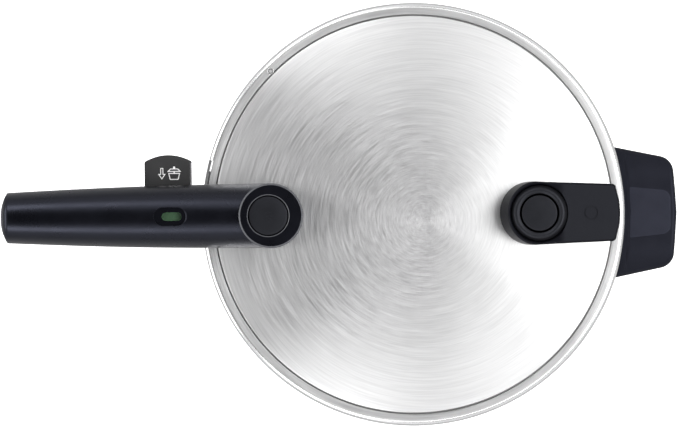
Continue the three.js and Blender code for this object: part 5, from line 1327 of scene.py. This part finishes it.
# ------------------------------------------------------------------ side grip
class COOKER_OT_side_grip(bpy.types.Operator):
    """Side grip with the strip along the lid, the inlaid pad, bracket and screws."""

    bl_idname = "cooker.side_grip"
    bl_label = "Side grip"

    def execute(self, context):
        tip, low, top = SIDE_HIGH.x, SIDE_LOW.z, SIDE_HIGH.z
        root = POT_RADIUS - 30
        wide = SIDE_HIGH.y - 0.1
        line = rounded([(root, 0), (root, wide), (LID_RADIUS - 6, wide, 4), (tip - 2.6, wide - 8.0, 11),
            (tip - 1.0, 16, 12), (tip, 0)], steps=9)
        fine = divided(line, lambda a, b: math.dist(a, b) / 0.6) + [(tip, 0)]
        fine[0] = (root, 0)

        def step(value, soft):
            """Rises smoothly from 0 to 1 while value goes from 0 to `soft`."""
            share = min(max(value / soft, 0.0), 1.0)
            return share * share * (3 - 2 * share)

        def upper(x, y, drop=0.0):
            """A low strip along the lid, then a broad top whose shoulders and end fall away."""
            from_strip = x - (LID_RADIUS + 1.9 - 0.0016 * y**2)
            z = top - 0.45 * (1 - step(from_strip, 1.6)) - 0.05 * max(0.0, from_strip - 1.6)
            z -= 0.012 * max(0.0, abs(y) - 16) ** 2 + 0.5 * (max(0.0, x - (tip - 4)) / 4) ** 2
            return z - drop

        def lower(x, y):
            share = min(max((x - POT_RADIUS - 17) / (tip - POT_RADIUS - 24), 0.0), 1.0)
            return low + 7.0 * math.sin(share * math.pi / 2) ** 1.4

        rings = []
        for a in quarter(6):
            inset, lift = 4.5 * (1 - math.sin(a)), 4.5 * (1 - math.cos(a))
            rings.append((inset, lambda x, y, lift=lift: lower(x, y) + lift))
        edge = 2.6
        for a in quarter(6):
            inset, drop = edge * (1 - math.cos(a)), edge * (1 - math.sin(a))
            rings.append((inset, lambda x, y, drop=drop: upper(x, y, drop)))
        body = moulded(fine, rings, across=110)
        bracket_low, bracket_high = corners("side_bracket")
        cuts = [rod(POT_RADIUS + 2, 0, RIM_TOP, segments=192),
            box_mesh((root - 5, bracket_low.y - 0.3, bracket_low.z - 0.3),
            (bracket_high.x + 0.3, bracket_high.y + 0.3, bracket_high.z + 0.3))]
        for node in ("side_screw_1", "side_screw_2"):
            x, y = middle(node)
            cuts.append(rod(2.3, low - 1, bracket_low.z + 1, x, y, 32))
        make("helper_grip", body, "pot", ["side_grip"], LOOKS["side"], cut=cuts, crease=30)
        near, far = LID_RADIUS + 3.8, tip - 4.2
        line = rounded([(near, 0), (near - 0.5, 17.2, 1), (far, 14.4, 6), (far, 0)], steps=7)
        fine = divided(line, lambda a, b: abs(b[0] - a[0]) / 1.2)
        rings = [(0, lambda x, y: upper(x, y, 0.6)), (0, lambda x, y: upper(x, y, -0.05))]
        rings.append((0.5, lambda x, y: upper(x, y, -0.14)))
        pad = moulded(fine + [(far, 0)], rings, across=40)
        make("helper_pad", pad, "pot", [], LOOKS["pad"], crease=40)
        return {"FINISHED"}


# ------------------------------------------------------------------ stage
LENS = 630.0
CAMERA_HEIGHT = 8.166
VIEW_X, VIEW_Y = -0.04997, 0.00035
VIEW_TURN = -0.557
FLOOR_REACH = 4000

SOFTBOXES = (
    # azimuth and angle from straight up in degrees, distance, width, height, power
    (3.0, 42.0, 1.5, 1.45, 0.8, 16.0),
    (118.0, 54.0, 1.5, 0.7, 0.5, 4.5),
    (243.0, 54.0, 1.5, 0.7, 0.5, 5.0),
    (78.0, 34.0, 1.5, 0.9, 0.35, 1.6),
    (284.0, 34.0, 1.5, 0.9, 0.35, 1.9),
    (46.0, 30.0, 1.5, 0.7, 0.5, 1.2),
    (314.0, 30.0, 1.5, 0.7, 0.5, 1.4),
    (180.0, 76.0, 1.5, 1.8, 0.5, 9.0),
)


class COOKER_OT_stage(bpy.types.Operator):
    """Pale floor, soft lights and the camera."""

    bl_idname = "cooker.stage"
    bl_label = "Stage"

    def execute(self, context):
        scene = context.scene
        colours = scene.cooker_colours
        far = FLOOR_REACH
        floor = mesh_object("stage_floor",
            ([(-far, -far, 0), (far, -far, 0), (far, far, 0), (-far, far, 0)], [(0, 1, 2, 3)]))
        pale = Finish("stage_pale").set(Roughness=0.9, Emission_Color=(1, 1, 1, 1))
        seen = pale.tree.nodes.new("ShaderNodeLightPath").outputs["Is Camera Ray"]
        pale.tinted(seen, shade(colours.floor, 0.5), tuple(colours.floor))
        pale.tree.links.new(math_node(pale.tree, "MULTIPLY", seen, 0.8), pale.shader.inputs["Emission Strength"])
        floor.data.materials.append(pale.material)

        data = bpy.data.cameras.new("camera")
        data.lens = LENS
        data.sensor_width = 36.0
        data.clip_start = 0.5
        data.clip_end = 100.0
        camera = bpy.data.objects.new("camera", data)
        camera.location = (VIEW_X, VIEW_Y, CAMERA_HEIGHT)
        camera.rotation_euler = (0, 0, math.radians(VIEW_TURN))
        scene.collection.objects.link(camera)
        scene.camera = camera

        target = Vector((0, 0, 0.17))
        for number, (azimuth, tilt, distance, width, height, power) in enumerate(SOFTBOXES):
            lamp = bpy.data.lights.new(f"softbox_{number}", "AREA")
            lamp.shape = "RECTANGLE"
            lamp.size = width
            lamp.size_y = height
            lamp.energy = power
            box = bpy.data.objects.new(f"softbox_{number}", lamp)
            around, down = math.radians(azimuth), math.radians(tilt)
            way = Vector((math.sin(down) * math.cos(around), math.sin(down) * math.sin(around), math.cos(down)))
            box.location = target + way * distance
            box.rotation_euler = way.to_track_quat("Z", "Y").to_euler()
            box.visible_camera = False
            scene.collection.objects.link(box)

        self.sky(scene)
        scene.view_settings.view_transform = "Standard"
        return {"FINISHED"}

    def sky(self, scene):
        """A room that is pale near the floor and dim straight above."""
        world = bpy.data.worlds.new("room")
        scene.world = world
        world.use_nodes = True
        tree = world.node_tree
        back = tree.nodes["Background"]
        coords = tree.nodes.new("ShaderNodeTexCoord")
        parts = add_node(tree, "SeparateXYZ", coords.outputs["Generated"])
        ramp = add_node(tree, "ValToRGB", parts.outputs["Z"])
        pale, dim = ramp.color_ramp.elements
        pale.position, pale.color = 0.5, (0.85, 0.85, 0.86, 1)
        dim.position, dim.color = 0.95, (0.04, 0.04, 0.042, 1)
        tree.links.new(ramp.outputs["Color"], back.inputs["Color"])


# ------------------------------------------------------------------ panel and registration
STEPS = ("pot", "seal", "lid", "lid_handle", "button", "valve_unit", "fittings", "pot_grip", "side_grip", "stage")


class COOKER_PT_panel(bpy.types.Panel):
    """Lists the pieces, sizes and colours."""

    bl_idname = "COOKER_PT_panel"
    bl_label = "Pressure cooker"
    bl_space_type = "VIEW_3D"
    bl_region_type = "UI"
    bl_category = "Cooker"

    def draw(self, context):
        layout = self.layout
        for step in STEPS:
            layout.operator("cooker." + step)
        for group in (context.scene.cooker_sizes, context.scene.cooker_colours):
            column = layout.column()
            for name in group.__annotations__:
                column.prop(group, name)


CLASSES = (CookerSizes, CookerColours, COOKER_OT_pot, COOKER_OT_seal, COOKER_OT_lid, COOKER_OT_lid_handle,
    COOKER_OT_button, COOKER_OT_valve_unit, COOKER_OT_fittings, COOKER_OT_pot_grip, COOKER_OT_side_grip,
    COOKER_OT_stage, COOKER_PT_panel)


def register():
    """Registers the classes and hangs the two groups of values on the scene."""
    for cls in CLASSES:
        bpy.utils.register_class(cls)
    bpy.types.Scene.cooker_sizes = bpy.props.PointerProperty(type=CookerSizes)
    bpy.types.Scene.cooker_colours = bpy.props.PointerProperty(type=CookerColours)


def unregister():
    """Takes them away again."""
    del bpy.types.Scene.cooker_colours
    del bpy.types.Scene.cooker_sizes
    for cls in reversed(CLASSES):
        bpy.utils.unregister_class(cls)


def main():
    """Builds every piece, in order."""
    register()
    scene = bpy.context.scene
    build_finishes(scene.cooker_colours, scene.cooker_sizes)
    for step in STEPS:
        getattr(bpy.ops.cooker, step)()


if __name__ == "__main__":
    main()
